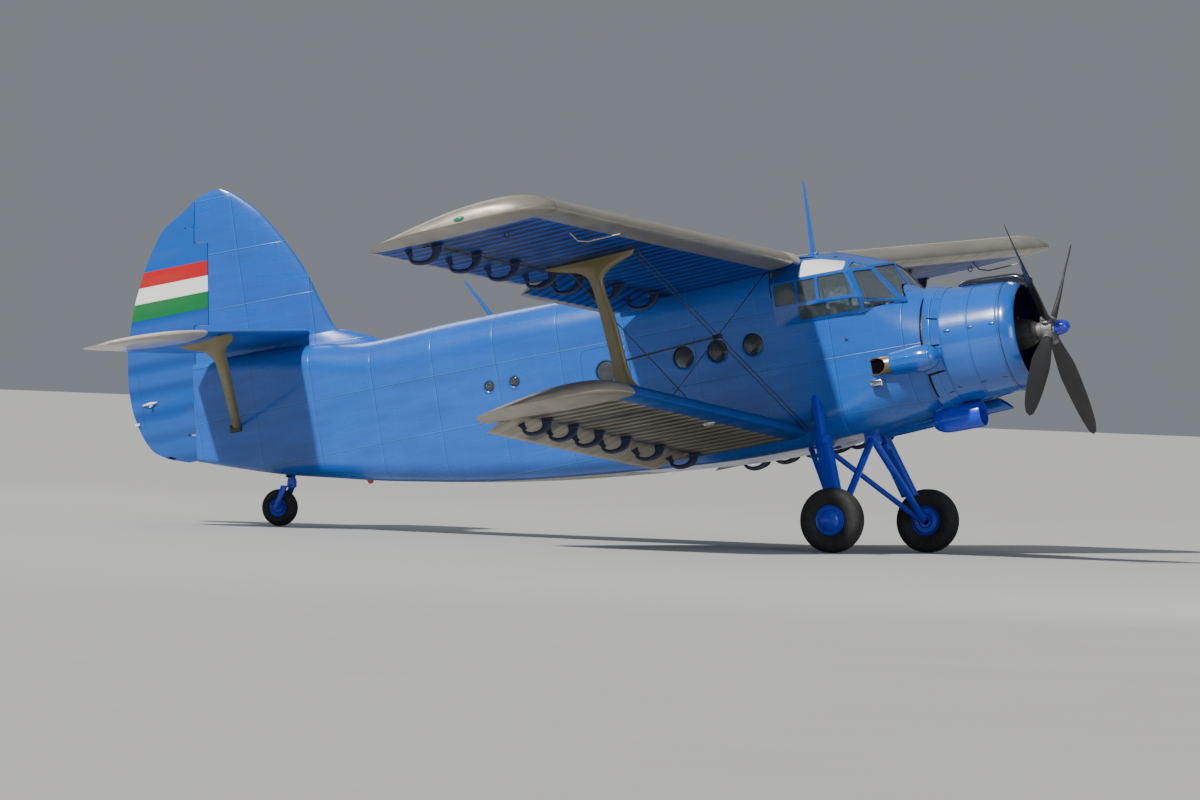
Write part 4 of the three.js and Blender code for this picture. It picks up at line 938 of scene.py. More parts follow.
def wholeWing(wing, chordSteps=22, ribbed=True):
    rows = wingRows(wing)

    def point(u, v):
        y, lead, trail, thick, hollow = rows[min(round(v * (len(rows) - 1)), len(rows) - 1)]
        onTop = u <= 0.5
        root = 2 * u if onTop else 2 - 2 * u
        upper, lower = smoothRow(aerofoil, root)
        share = root * root
        covered = min(max((share - 0.115) / 0.08, 0), 1) * min((1 - share) / 0.35, 1)
        sag = wing["sag"] * hollow * covered if ribbed else 0
        height = upper * thick - sag if onTop else lower * thick + sag
        return Vector((lead - share * (lead - trail), y, height))

    return wrapped(point, chordSteps * 2, len(rows) - 1)


def noseOutline(wing, grow):
    x, z = wing["hinge"]
    return arc(x, z, wing["nose"] + grow, -20, 90, 24) + [(-3.0, 0.4), (-3.0, -0.5), (x, -0.5)]


hingeWidths = (0.075, 0.055, 0.034, 0.028, 0.024, 0.02, 0.018)  # from the foot to the pin


# Half-ring arm from the wing's lower side down and back up to the hinge, with its foot and boss
def hingeArm(wing, y):
    x, z = wing["hinge"]
    nose = wing["nose"]
    deep = wing["arm"]
    route = smoothLine([
        (x + nose + 0.08, y, -0.012), (x + nose + 0.055, y, z - 0.35 * deep), (x + nose - 0.02, y, z - 0.88 * deep),
        (x + nose - 0.12, y, z - deep), (x + 0.03, y, z - 0.76 * deep), (x - 0.014, y, z - 0.33 * deep),
        (x, y, z + 0.012),
    ], 5)
    widths = smoothLine([(width, 0, 0) for width in hingeWidths], 5)
    arm = swept(route, [(width.x, 0.014) for width in widths], (0, 1, 0), 16, 0.6)
    foot = block((x + nose + 0.03, y - 0.03, -0.064), (x + nose + 0.17, y + 0.03, -0.046), 0.008)
    boss = rod((x, y - 0.017, z), (x, y + 0.0135, z), 0.024, segments=20)
    return join(arm, foot, boss)


def hingeLug(wing, y):
    x, z = wing["hinge"]
    outline = [(x - 0.075, 0.03), (x - 0.02, z - 0.004)] + arc(x, z, 0.024, 190, 350, 8) + [(x + 0.045, 0.03)]
    pin = rod((x, y - 0.018, z), (x, y + 0.034, z), 0.009, segments=12)
    return join(prism(outline, y + 0.0143, y + 0.03), pin)


# The slat's part of the section, cut off with a slanting line
def slatRegion(gap=0.0):
    outline = [(slat["rear"] - gap, 0.26), (0.1, 0.26), (0.1, -0.06), (slat["rearBelow"] - gap, -0.06)]
    return prism(outline, slat["start"] - gap, slat["end"] + gap)


def middleBody():
    return fuselageBody(fuselage["firewall"], fuselage["coneFront"], snug, 48, 0.2)


def makeWing(wing, material, slatted=False):
    matrix = wingMatrix(wing)
    own = [surface for surface in surfaces if surface[0] == wing["name"]]
    gap = 0.008
    fixed = carve(wholeWing(wing), *[prism(noseOutline(wing, gap), start, end) for _, _, start, end, _, _ in own])
    if slatted:
        fixed = carve(fixed, slatRegion(slat["gap"]))
        skin = carve(wholeWing(wing), slatRegion(), keep=True)
        placePair(moved(skin, matrix), "slat skin", material, "slat", body="slat")
    fixed = carve(moved(fixed, matrix), middleBody(), *([canopyHull(0.001)] if slatted else []))
    placePair(fixed, f"{wing['name']} wing skin", material, f"{wing['name']}_wing")
    arms = [hingeArm(wing, y) for surface in own for y in surface[5]]
    placePair(moved(join(*arms), matrix), f"{wing['name']} hinge arms", navyPaint)
    for _, node, start, end, droop, places in own:
        panel = carve(wholeWing(wing), prism(noseOutline(wing, 0), start + gap, end - gap), keep=True)
        if node == "aileron":
            # slots in the nose for the arms when the aileron is up
            x = wing["hinge"][0]
            front = x + wing["nose"] + 0.02
            panel = carve(panel, *[block((x + 0.17, y - 0.023, -0.2), (front, y + 0.023, 0.035)) for y in places])
        swung = matrix @ drooped(wing, droop)
        placePair(moved(panel, swung), f"{node} skin", clothFor[node], node, body=node)
        lugs = join(*[hingeLug(wing, y) for y in places])
        placePair(moved(lugs, swung), f"{node} lugs", navyPaint, body=node)


# The port piece and its mirror image; node and body names take the side's ending
def placePair(bm, name, material, node=None, sharp=34, body="airframe"):
    for side, sign in sides.items():
        half = bm.copy()
        if sign < 0:
            moved(half, mirrorY)
        rides = body if body == "airframe" else f"{body}_{side}"
        place(half, f"{name} {side}", material, [f"{node}_{side}"] if node else (), sharp, rides)
    bm.free()


rudder = {"hinge": (-9.06, 2.95), "lean": 8.07, "nose": 0.095, "low": 1.17, "high": 2.225, "reach": 0.28, "gap": 0.008}


def rudderMatrix():
    turn = Matrix.Rotation(radians(rudder["lean"]), 4, "Y")
    return Matrix.Translation((rudder["hinge"][0], 0, rudder["hinge"][1])) @ turn


# The rudder's own region, or with grow the room that it swings in
def rudderRegion(grow=0.0):
    nose = rudder["nose"] + grow
    body = prism(arc(0, 0, nose, -90, 90, 20) + [(-1.5, nose), (-1.5, -nose)], -1.2, 3.5, "z")
    horn = block((-0.1, -0.25, rudder["low"] - grow), (rudder["reach"] + grow, 0.25, rudder["high"] + grow))
    return moved(combine(body, [horn], "UNION"), rudderMatrix())


upperColors = {
    "above": colors["silver"], "below": (0.0, 0.060, 0.42), "edge": colors["silver"], "edgeMetal": 0.6, "edgeRoot": 1.0,
}
lowerColors = {
    "above": colors["silver"], "below": (0.33, 0.30, 0.225), "edge": colors["blue"], "edgeMetal": 0.0, "edgeRoot": 0.5,
}


def clothOf(name, wing, shades, droop=0.0, edgeX=9.0, tipY=9.9, hollowShade=1.0):
    matrix = wingMatrix(wing) @ drooped(wing, droop)
    return wingCloth(
        name, matrix, shades, edgeX, tipY, wing["rib"], hollowShade, wing["hinge"][0] + wing["nose"],
    )


upperCloth = clothOf("upper wing cloth", upperWing, upperColors, 0, -0.30, 8.46)
lowerCloth = clothOf("lower wing cloth", lowerWing, lowerColors, 0, -0.235, 6.30)
clothFor = {
    "flap_upper": clothOf("upper flap cloth", upperWing, upperColors, 18),
    "aileron": clothOf("aileron cloth", upperWing, upperColors),
    "flap_lower": clothOf("lower flap cloth", lowerWing, lowerColors, 18, hollowShade=0.15),
}
planeCloth = tailFinish("tailplane finish")
rudderCloth = rudderFinish("rudder finish")

makeFuselage()
print("fuselage made")
makeWindows()
print("windows made")
makeWing(upperWing, upperCloth, slatted=True)
makeWing(lowerWing, lowerCloth)
print("wings made")


# Profile of a symmetric section: root of the chord share, half thickness as a share of the whole
symmetric = [
    (0.0, 0.0), (0.1414, 0.20), (0.2828, 0.36), (0.50, 0.50), (0.6708, 0.47), (0.8367, 0.28), (1.0, 0.03),
]
tail = {
    # z, leading edge, trailing edge, thickness
    "fin": [
        (2.385, -8.70, -9.20, 0.05), (2.48, -8.60, -9.48, 0.09), (2.63, -8.55, -9.697, 0.11),
        (3.05, -8.50, -9.86, 0.14), (3.441, -6.60, -9.888, 0.19), (3.714, -6.88, -9.858, 0.185),
        (4.032, -7.016, -9.793, 0.175), (4.669, -7.256, -9.55, 0.15), (5.354, -7.681, -9.105, 0.105),
        (5.59, -7.92, -8.72, 0.075), (5.71, -8.08, -8.52, 0.048), (5.765, -8.19, -8.33, 0.02),
    ],
    # y, leading edge, trailing edge, thickness
    "plane": [
        (0.0, -7.23, -8.94, 0.195), (2.8, -7.61, -8.93, 0.14), (3.3, -7.88, -8.90, 0.105),
        (3.52, -8.15, -8.80, 0.06), (3.6, -8.40, -8.65, 0.024),
    ],
    "elevatorHinge": (-8.40, 3.74), "elevatorNose": 0.062, "elevator": (0.11, 3.29, 0.5), "gap": 0.008,
    "rudderRib": 0.31, "elevatorRib": 0.28, "sag": 0.011, "rudderEyes": (-0.23, 0.83, 2.42),
    "elevatorEyes": (0.9, 2.05, 3.15), "eye": 0.026,
    # z, front, rear and thickness of the fin's fillet and of the tailplane's strut
    "fillet": [(3.40, -6.15, -8.9, 0.42), (3.56, -6.45, -8.8, 0.26), (3.70, -6.80, -8.75, 0.19)],
    "strut": [
        (2.68, -8.33, -8.44, 0.085), (3.42, -7.72, -7.89, 0.095), (3.54, -7.62, -7.88, 0.09),
        (3.63, -7.42, -8.10, 0.08), (3.70, -7.37, -8.15, 0.07),
    ],
    "strutLine": [(2.68, 0.18), (3.42, 1.66), (3.54, 1.90), (3.63, 2.08), (3.70, 2.20)],  # z, y
    "shoe": [(-8.47, 0.155, 2.64), (-8.31, 0.235, 2.74)],
    # trim tab's rod along the rudder and its size
    "tabRod": [(-9.50, 0.045, 3.22), (-9.60, 0.05, 3.215), (-9.72, 0.03, 3.21)],
    "tabRodSize": [(0.006, 0.006), (0.02, 0.012), (0.005, 0.005)],
}


def ripple(distance, spacing):
    return abs(sin(pi * distance / spacing)) ** 0.8


def finBody():
    lean = tan(radians(rudder["lean"]))

    def waves(z, share, x):
        hinge = rudder["hinge"][0] + (z - rudder["hinge"][1]) * lean
        covered = min(max((hinge - 0.10 - x) / 0.08, 0), 1) * min((1 - share) / 0.1, 1)
        return tail["sag"] * covered * ripple(z - 2.35, tail["rudderRib"])

    return streamlined(tail["fin"], lambda x, y, z: Vector((x, y, z)), 44, 88, waves)


def planeBody():
    hingeX = tail["elevatorHinge"][0]

    def waves(y, share, x):
        covered = min(max((hingeX - 0.08 - x) / 0.07, 0), 1) * min((1 - share) / 0.12, 1)
        return 0.6 * tail["sag"] * covered * ripple(y, tail["elevatorRib"])

    height = tail["elevatorHinge"][1]
    return streamlined(tail["plane"], lambda x, z, y: Vector((x, y, height + z)), 44, 64, waves)


def rudderPlates(half, front, extra):
    plates = [block((-front, -half, z - 0.008 - extra), (0.175, half, z + 0.008 + extra)) for z in tail["rudderEyes"]]
    return moved(join(*plates), rudderMatrix())


def elevatorRegion(grow, start, end):
    x, z = tail["elevatorHinge"]
    nose = tail["elevatorNose"] + grow
    outline = arc(x, z, nose, -90, 90, 20) + [(x - 1.5, z + nose), (x - 1.5, z - nose)]
    return prism(outline, start, end)


def planePlates(tall, rear, extra):
    x, z = tail["elevatorHinge"]
    return join(*[
        block((x - rear, y - 0.008 - extra, z - tall), (x + 0.12, y + 0.008 + extra, z + tall))
        for y in tail["elevatorEyes"]
    ])


def makeTail():
    x, z = tail["elevatorHinge"]
    belowFin = block((-9.8, -0.3, 2.0), (-6.0, 0.3, 3.4))
    bore = rod((x, -0.2, z), (x, 0.2, z), 0.031, segments=32)
    cone = tailEnd(front=-4.9)
    fin = carve(finBody(), rudderRegion(rudder["gap"]), belowFin, cone, bore)
    eyes = carve(rudderPlates(tail["eye"], tail["eye"], 0), block((-9.3, -0.2, 3.645), (-8.4, 0.2, 6.0)), keep=True)
    fillet = streamlined(tail["fillet"], lambda fx, fy, fz: Vector((fx, fy, fz)), 44, 8)
    fillet = carve(fillet, rudderRegion(0.05), rod((x, -0.3, z), (x, 0.3, z), 0.04, segments=24))
    place(join(fin, eyes), "fin skin", blueSheet, ["fin"], 32)
    place(fillet, "fin fillet", blueSheet, sharp=40)
    place(
        carve(carve(finBody(), rudderRegion(), keep=True), rudderPlates(0.2, tail["eye"] + 0.016, 0.0003)),
        "rudder skin", rudderCloth, ["rudder"], 32, body="rudder",
    )
    elevatorFrom, elevatorTo, rearInner = tail["elevator"]
    plane = carve(planeBody(), elevatorRegion(tail["gap"], 0, elevatorTo + tail["gap"]))
    plane = join(plane, planePlates(tail["eye"], tail["eye"], 0))
    plane = carve(plane, tailEnd(snug, 48, 0.2), finBody())
    placePair(plane, "tailplane skin", planeCloth, "tailplane", 32)
    sweep = prism([(-8.48, -0.05), (-9.3, -0.05), (-9.3, 0.8), (-8.94, rearInner), (-8.48, 0.17)], 3.0, 4.5, "z")
    half = carve(planeBody(), elevatorRegion(0, elevatorFrom, elevatorTo), keep=True)
    half = carve(half, sweep, planePlates(0.15, tail["eye"] + 0.016, 0.0003))
    tube = rod((x, -elevatorFrom - 0.02, z), (x, elevatorFrom + 0.02, z), 0.03, segments=28)
    both = join(half, moved(half.copy(), mirrorY), tube)
    place(both, "elevator skins", planeCloth, ["elevators"], 32, body="elevators")

    strut = streamlined(tail["strut"], tailStrutPoint, 32, 60)
    strut = carve(strut, planeBody(), tailEnd(snug, 48, 0.2))
    placePair(strut, "tail strut", khakiPaint, "tailplane_strut", 40)
    placePair(block(*tail["shoe"], 0.015), "tail strut shoe", blackPaint)
    # trim tab's rod, its horn and the tab's stop, on both faces of the rudder
    fittings = []
    for side in (1, -1):
        path = [(tabX, side * tabY, tabZ) for tabX, tabY, tabZ in tail["tabRod"]]
        fittings.append(swept(path, tail["tabRodSize"], (0, 1, 0), 12))
        fittings.append(rod((-9.58, side * 0.02, 3.19), (-9.60, side * 0.075, 3.175), 0.012, segments=12))
        fittings.append(block((-9.87, side * 0.012 - 0.01, 2.965), (-9.80, side * 0.012 + 0.01, 2.995), 0.004))
    place(join(*fittings), "rudder tab fittings", whitePaint, body="rudder")


def tailStrutPoint(x, across, z):
    y = smoothRow(tail["strutLine"], z)[0]
    return Vector((x, y + across, z))


# Cowling, engine and what hangs on them, on the thrust line
cowl = {
    "rear": 1.40, "front": 2.17, "lip": 2.35, "rearRadius": 0.73, "frontRadius": 0.685, "skin": 0.012,
    "gills": 14, "gillRear": 1.17, "gillRadius": 0.785, "gillGap": 0.012, "gillSwing": 0.035, "gillShort": 0.045,
    "gillRoot": 0.731,
    "straps": [(1.40, 0.7325), (1.76, 0.7145), (2.135, 0.690)],  # place along the shaft and radius
    "latchX": (1.50, 1.80, 2.08), "latchAngle": (12, -48),
}
engine = {
    "front": 2.44, "cylinders": 9, "cylinderX": 1.76, "fins": 18, "finPitch": 0.015, "barrel": 0.070, "finEdge": 0.086,
    # radius of each ring of nuts, its place along the shaft and how many
    "nutRings": [(0.315, 1.975, 18), (0.15, 2.36, 12)],
    "case": [(0.25, 1.151), (0.25, 1.45), (0.33, 1.56), (0.33, 1.96)],
    "nose": [(0.30, 1.99), (0.235, 2.08), (0.20, 2.20), (0.165, 2.34), (0.12, 2.42)],
    # in a cylinder's own axes, with z outwards
    "rocker": [(-0.01, -0.032, 0.575), (0.10, 0.032, 0.64)], "rockerY": (-0.055, 0.055),
    "lead": [(0.20, 0.0, 0.29), (0.19, 0.012, 0.40), (0.13, 0.0, 0.50), (0.075, 0.0, 0.52)],
    "baffle": [(0.30, 1.88), (0.70, 1.66), (0.70, 1.664), (0.30, 1.884)], "leadRing": (0.30, 2.0, 0.014),
}
centreLine = (0, 0, thrust["z"])


def profile(points, steps=5):
    return [(point.x, point.y) for point in smoothLine([(r, t, 0) for r, t in points], steps)]


def cowlOutside(grow=0.0):
    return turned([
        (0, cowl["gillRear"]), (cowl["gillRadius"] + grow, cowl["gillRear"]), (cowl["rearRadius"] + grow, cowl["rear"]),
        (0.699 + grow, 2.0), (cowl["frontRadius"] + grow, cowl["front"]), (0.64 + grow, 2.31),
        (0.60, cowl["lip"] + grow), (0, cowl["lip"] + grow),
    ], centreLine, steps=72)


def makeCowling():
    rear, front, skin = cowl["rear"], cowl["front"], cowl["skin"]
    outside = profile([(cowl["rearRadius"], rear + 0.006), (0.716, 1.68), (0.699, 2.0), (0.685, front)], 5)
    inside = [(r - skin, t) for r, t in reversed(outside)]
    barrel = turned(outside + inside, centreLine, steps=112, closed=True)
    place(barrel, "cowling skin", blueCowl, ["cowling"], 40)
    wide = tau / cowl["gills"]
    gills = []
    for i in range(cowl["gills"]):
        middle = wide * (i + 0.5)
        gills.append(gillFlap(middle - 0.5 * wide + cowl["gillGap"], middle + 0.5 * wide - cowl["gillGap"]))
    place(join(*gills), "cowl gills", blueCowl, sharp=40)
    # painted shade: a black sheet round the room behind the gills, so the gaps between them read dark
    shadeSheet = turned(
        [(0.0, 1.1503), (0.70, 1.1503), (0.70, 1.38), (0.69, 1.38), (0.69, 1.155), (0.0, 1.155)], centreLine, steps=72,
    )
    place(shadeSheet, "gill room liner", blackPaint)
    straps = []
    for t, radius in cowl["straps"]:
        straps.append(turned([
            (radius - 0.006, t - 0.012), (radius + 0.004, t - 0.012), (radius + 0.004, t + 0.012),
            (radius - 0.006, t + 0.012),
        ], centreLine, steps=112, closed=True))
    place(join(*straps), "cowl straps", blueCowl, sharp=40)
    seal = turned([(0.675, front - 0.004), (0.6870, front - 0.004), (0.6868, front + 0.006), (0.675, front + 0.006)],
                  centreLine, steps=112, closed=True)
    place(seal, "cowl lip seal", blackPaint)
    lip = turned(profile([
        (0.672, front + 0.004), (0.684, front + 0.004), (0.680, 2.225), (0.658, 2.290), (0.628, 2.338),
        (0.600, 2.349), (0.586, 2.325), (0.592, 2.26), (0.640, 2.19),
    ], 5), centreLine, steps=112, closed=True)
    place(lip, "cowl lip ring", lipPaint, ["cowl_lip"], 50)
    # over-centre latches in two rows down each side
    latches = []
    for side in (1, -1):
        for t in cowl["latchX"]:
            for tilt in cowl["latchAngle"]:
                angle = radians(tilt)
                radius = 0.725 - (t - 1.5) * 0.06
                spot = (t, side * radius * cos(angle), thrust["z"] + radius * sin(angle))
                latch = block((-0.035, -0.006, -0.014), (0.035, 0.010, 0.014), 0.004)
                latches.append(moved(latch, Matrix.Translation(spot) @ Matrix.Rotation(side * angle, 4, "X")))
    place(join(*latches), "cowl latches", deepPaint)


# One flap between two angles round the cowling's rear edge; those on the flanks stand open
def gillFlap(start, end):
    middle = (start + end) / 2
    isOpen = abs(cos(middle)) > 0.5 and abs(sin(middle) + 0.2) > 0.24
    swing, short = (cowl["gillSwing"], cowl["gillShort"]) if isOpen else (0.0, 0.0)
    root, rear = cowl["gillRoot"], cowl["gillRear"] + short

    def point(u, v):
        angle = start + (end - start) * u
        radius = root + (cowl["gillRadius"] + swing - root) * v
        x = cowl["rear"] + 0.002 + (rear - cowl["rear"]) * v
        return Vector((x, cos(angle) * radius, thrust["z"] + sin(angle) * radius))

    bm = bmesh.new()
    bmesh.ops.create_grid(bm, x_segments=10, y_segments=5, size=1)
    for vert in bm.verts:
        vert.co = point((vert.co.x + 1) / 2, (vert.co.y + 1) / 2)
    bmesh.ops.recalc_face_normals(bm, faces=bm.faces)
    bmesh.ops.solidify(bm, geom=bm.faces[:], thickness=0.005)
    bmesh.ops.recalc_face_normals(bm, faces=bm.faces)
    return bm


def makeEngine():
    outline = [(0, fuselage["firewall"])] + profile(engine["case"]) + profile(engine["nose"])
    case = turned(outline + [(0.112, engine["front"]), (0, engine["front"])], centreLine)
    bolts = []
    for ring, t, count in engine["nutRings"]:
        for a, b in ringOf(count, ring):
            bolts.append(rod((t, a, thrust["z"] + b), (t + 0.022, a, thrust["z"] + b), 0.009, segments=6))
    magnetos = [
        rod((2.03, side * 0.12, thrust["z"] + 0.2), (2.16, side * 0.12, thrust["z"] + 0.2), 0.05, 0.045, 20)
        for side in (1, -1)
    ]
    place(join(case, *bolts, *magnetos), "engine case", shadedCaseMetal, ["engine"], 32)

    barrels, boxes, pipes = [], [], []
    outline = [(0, 0.285), (0.078, 0.285)]
    barrel, edge = engine["barrel"], engine["finEdge"]
    for k in range(engine["fins"]):
        r = 0.30 + k * engine["finPitch"]
        outline += [(barrel, r), (edge, r + 0.002), (edge, r + 0.006), (barrel, r + 0.008)]
    outline += [(edge, 0.575), (0.080, 0.605), (0.0, 0.61)]
    middle = Matrix.Translation((engine["cylinderX"], 0, thrust["z"]))
    for i in range(engine["cylinders"]):
        turn = middle @ Matrix.Rotation(tau * i / engine["cylinders"], 4, "X")
        barrels.append(moved(turned(outline, (0, 0, 0), (0, 0, 1), 28), turn))
        (x0, y0, z0), (x1, y1, z1) = engine["rocker"]
        for y in engine["rockerY"]:
            boxes.append(moved(block((x0, y + y0, z0), (x1, y + y1, z1), 0.014), turn))
            pipes.append(moved(rod((0.15, y * 0.9, 0.30), (0.075, y, 0.60), 0.012, segments=12), turn))
        pipes.append(moved(swept(smoothLine(engine["lead"], 5), 0.007), turn))
    place(join(*barrels), "engine cylinders", darkCasting)
    place(join(*boxes), "rocker boxes", greyCasting)
    ring = turned(arcProfile(*engine["leadRing"]), centreLine, closed=True)
    place(join(ring, *pipes), "pushrods and leads", blackPaint)
    baffle = turned(engine["baffle"], centreLine, steps=96, closed=True)
    place(baffle, "engine baffle", blackPaint)


def arcProfile(radius, t, half, steps=12):
    return [(radius + a, t + b) for a, b in ringOf(steps, half)]


# Distances along the shaft, radii and heights of what hangs on the nose
scoop = {
    # x, half width, top
    "rows": [
        (1.44, 0.05, 2.73), (1.56, 0.12, 2.83), (1.75, 0.155, 2.849), (2.05, 0.168, 2.838), (2.27, 0.17, 2.825),
        (2.35, 0.168, 2.80), (2.41, 0.16, 2.755),
    ],
    "foot": 2.62, "squareness": 0.45, "mouth": [(2.22, -0.135, 2.68), (2.6, 0.135, 2.785)],
    "gauze": [(2.235, -0.133, 2.72), (2.24, 0.133, 2.785)],
}
exhaust = {
    "y": -0.815, "z": 1.93, "fairingRear": 0.78, "outlet": 0.108, "bore": 0.100, "throat": 0.0998, "deep": 0.045,
    "fairing": [(0.0, 1.40), (0.06, 1.39), (0.13, 1.325), (0.168, 1.18), (0.162, 1.0), (0.148, 0.84)],
    "bend": [(0.78, -0.825), (0.60, -0.855), (0.28, -0.935)], "slantRear": 0.44,
    "sideBox": [(0.47, -0.905, 1.68), (0.64, -0.80, 1.77)], "plug": (0.235, 2.33),
}
cooler = {
    "y": -0.10, "z": 1.18, "mouth": 0.14, "vanePitch": 0.02, "vaneX": 1.402,
    "shell": [(0.0, 0.925), (0.06, 0.935), (0.12, 0.99), (0.158, 1.09), (0.165, 1.20)],
    "lip": [(0.165, 1.52), (0.162, 1.58), (0.156, 1.60), (0.146, 1.60), (0.141, 1.585), (0.141, 1.40), (0, 1.40)],
    "neck": [(1.0, -0.19, 1.25), (1.33, -0.01, 1.42)],
}
duct = {
    "y": 0.3, "radius": 0.088, "bore": 0.080,
    "line": [(0.15, 1.205), (1.9, 1.29)], "boreLine": [(1.2, 1.256), (2.0, 1.295)],
    "scarf": [(1.64, 1.40), (1.92, 1.15), (2.1, 1.15), (2.1, 1.4)], "bands": (1.38, 1.50), "bandRadius": 0.094,
    "bandWide": 0.02, "foot": 1.1977, "slope": 0.0486,
}


def scoopPoint(u, v):
    rows = scoop["rows"]
    x = rows[0][0] + (rows[-1][0] - rows[0][0]) * v
    half, top = smoothRow(rows, x)
    angle = u * tau
    c, s = cos(angle), sin(angle)
    middle, tall = (scoop["foot"] + top) / 2, (top - scoop["foot"]) / 2
    power = scoop["squareness"]
    return Vector((
        x, half * copysign(abs(c) ** power, c), middle + tall * copysign(abs(s) ** power, s),
    ))


def makeScoop():
    shell = carve(wrapped(scoopPoint, 48, 30), cowlOutside(), block(*scoop["mouth"], 0.03, 4))
    place(shell, "air scoop", scoopPaint, ["carburettor_intake"], 40)
    place(block(*scoop["gauze"]), "scoop gauze", blackPaint)


# The bare outlet bends outboard and is cut so that its mouth faces outboard
def outletTube(front, radius):
    path = [(front, exhaust["y"], exhaust["z"])] + [(x, y, exhaust["z"]) for x, y in exhaust["bend"]]
    return swept(smoothLine(path, 8), radius, (0, 0, 1), 56)


# What the slanting cut takes away, set deeper into the outlet by inward
def outletSlant(inward, rear):
    outline = [
        (-0.60, -1.20), (1.0, -1.20), (0.735, inward - 0.945), (rear, inward - 0.80), (rear - 0.04, -0.60),
        (-0.60, -0.60),
    ]
    return prism(outline, 1.7, 2.2, "z")


def makeExhaust():
    rear = exhaust["fairingRear"]
    fairing = turned(
        profile(exhaust["fairing"]) + [(0.143, rear), (0.112, rear), (0.112, 0.95), (0, 0.95)],
        (0, exhaust["y"], exhaust["z"]), steps=56,
    )
    place(carve(fairing, noseEnd(), cowlOutside(0.001)), "exhaust fairing", blueCowl, ["exhaust_pipe"], 40)
    cut = exhaust["slantRear"]
    outlet = carve(outletTube(0.92, exhaust["outlet"]), outletTube(0.86, exhaust["bore"]))
    outlet = carve(outlet, outletSlant(0.0, cut), noseEnd(0))
    place(outlet, "exhaust outlet", brassTube)
    throat = carve(outletTube(0.86, exhaust["throat"]), outletSlant(exhaust["deep"], cut), noseEnd(-0.002))
    behind = carve(outletTube(0.86, exhaust["throat"]), outletSlant(0.0, cut + 0.03), noseEnd(0))
    behind = carve(behind, noseEnd(-0.003), keep=True)
    place(join(throat, behind), "exhaust throat", soot)
    place(block(*exhaust["sideBox"], 0.02, 3), "polished side box", polished)
    x, z = exhaust["plug"]
    plug = turned([(0, 0.0), (0.02, 0.0), (0.02, 0.012), (0.014, 0.014), (0.012, 0.004), (0, 0.004)],
                  (x, 0.004 - skinHalf(x), z), (0, -1, 0), 20)
    place(plug, "side drain plug", blackPaint)


def makeCooler():
    y, z, x = cooler["y"], cooler["z"], cooler["vaneX"]
    shell = turned(profile(cooler["shell"]) + cooler["lip"], (0, y, z), steps=56)
    place(carve(shell, cowlOutside(0.001)), "oil cooler skin", bluePaint, ["oil_cooler"], 40)
    neck = carve(block(*cooler["neck"], 0.02), cowlOutside(0.001), noseEnd())
    place(neck, "cooler neck", bluePaint)
    vanes = []
    for across in [k * cooler["vanePitch"] for k in range(-6, 7)]:
        half = sqrt(cooler["mouth"] ** 2 - across ** 2)
        vanes.append(block((x, y - half, z + across), (x + 0.028, y + half, z + across + 0.003)))
        vanes.append(block((x, y + across, z - half), (x + 0.023, y + across + 0.003, z + half)))
    place(join(*vanes), "cooler matrix", darkCasting)


def makeDuct():
    y, radius = duct["y"], duct["radius"]
    tube, bore = [
        rod((x0, y, z0), (x1, y, z1), half, segments=48)
        for ((x0, z0), (x1, z1)), half in ((duct["line"], radius), (duct["boreLine"], duct["bore"]))
    ]
    tube = carve(tube, bore, prism(duct["scarf"], 0.1, 0.5), cowlOutside(0.001), noseEnd())
    place(tube, "belly duct skin", framePaint, ["belly_duct"], 40)
    outer, wide = duct["bandRadius"], duct["bandWide"]
    bands = [
        turned([(radius, t), (outer, t), (outer, t + wide), (radius, t + wide)], (0, y, duct["foot"]),
               (1, 0, duct["slope"]), 48, True) for t in duct["bands"]
    ]
    place(join(*bands), "duct bands", steelBare)


# Cockpit glazing: thin frames on the edges of the flat panes
def insetHull(inset, openBy=0.0, grow=0.0):
    hull = canopyHull()
    bmesh.ops.dissolve_limit(hull, angle_limit=radians(0.6), verts=hull.verts, edges=hull.edges)
    planes = [(face.calc_center_median(), face.normal.copy()) for face in hull.faces]
    bm = block((-1.4, -1.15, 2.4), (1.4, 1.15, 3.75))
    for spot, normal in planes:
        outward = openBy if openBy and (normal.x < -0.9 or normal.z < -0.9) else -inset + grow
        cut = bmesh.ops.bisect_plane(
            bm, geom=bm.verts[:] + bm.edges[:] + bm.faces[:], plane_co=spot + normal * outward, plane_no=normal,
            clear_outer=True, clear_inner=False, dist=0.000001,
        )
        edges = [item for item in cut["geom_cut"] if isinstance(item, bmesh.types.BMEdge)]
        if edges:
            bmesh.ops.holes_fill(bm, edges=edges, sides=0)
    hull.free()
    bmesh.ops.recalc_face_normals(bm, faces=bm.faces)
    return bm


def roundedPane(points, start, end, across="y", radius=0.022):
    bm = prism(points, start, end, across)
    axis = {"x": 0, "y": 1, "z": 2}[across]
    corners = [edge for edge in bm.edges if abs((edge.verts[0].co - edge.verts[1].co).normalized()[axis]) > 0.99]
    bmesh.ops.bevel(bm, geom=corners, offset=radius, offset_type="OFFSET", affect="EDGES", segments=4, profile=0.5,
                    material=-1, clamp_overlap=True)
    return bm


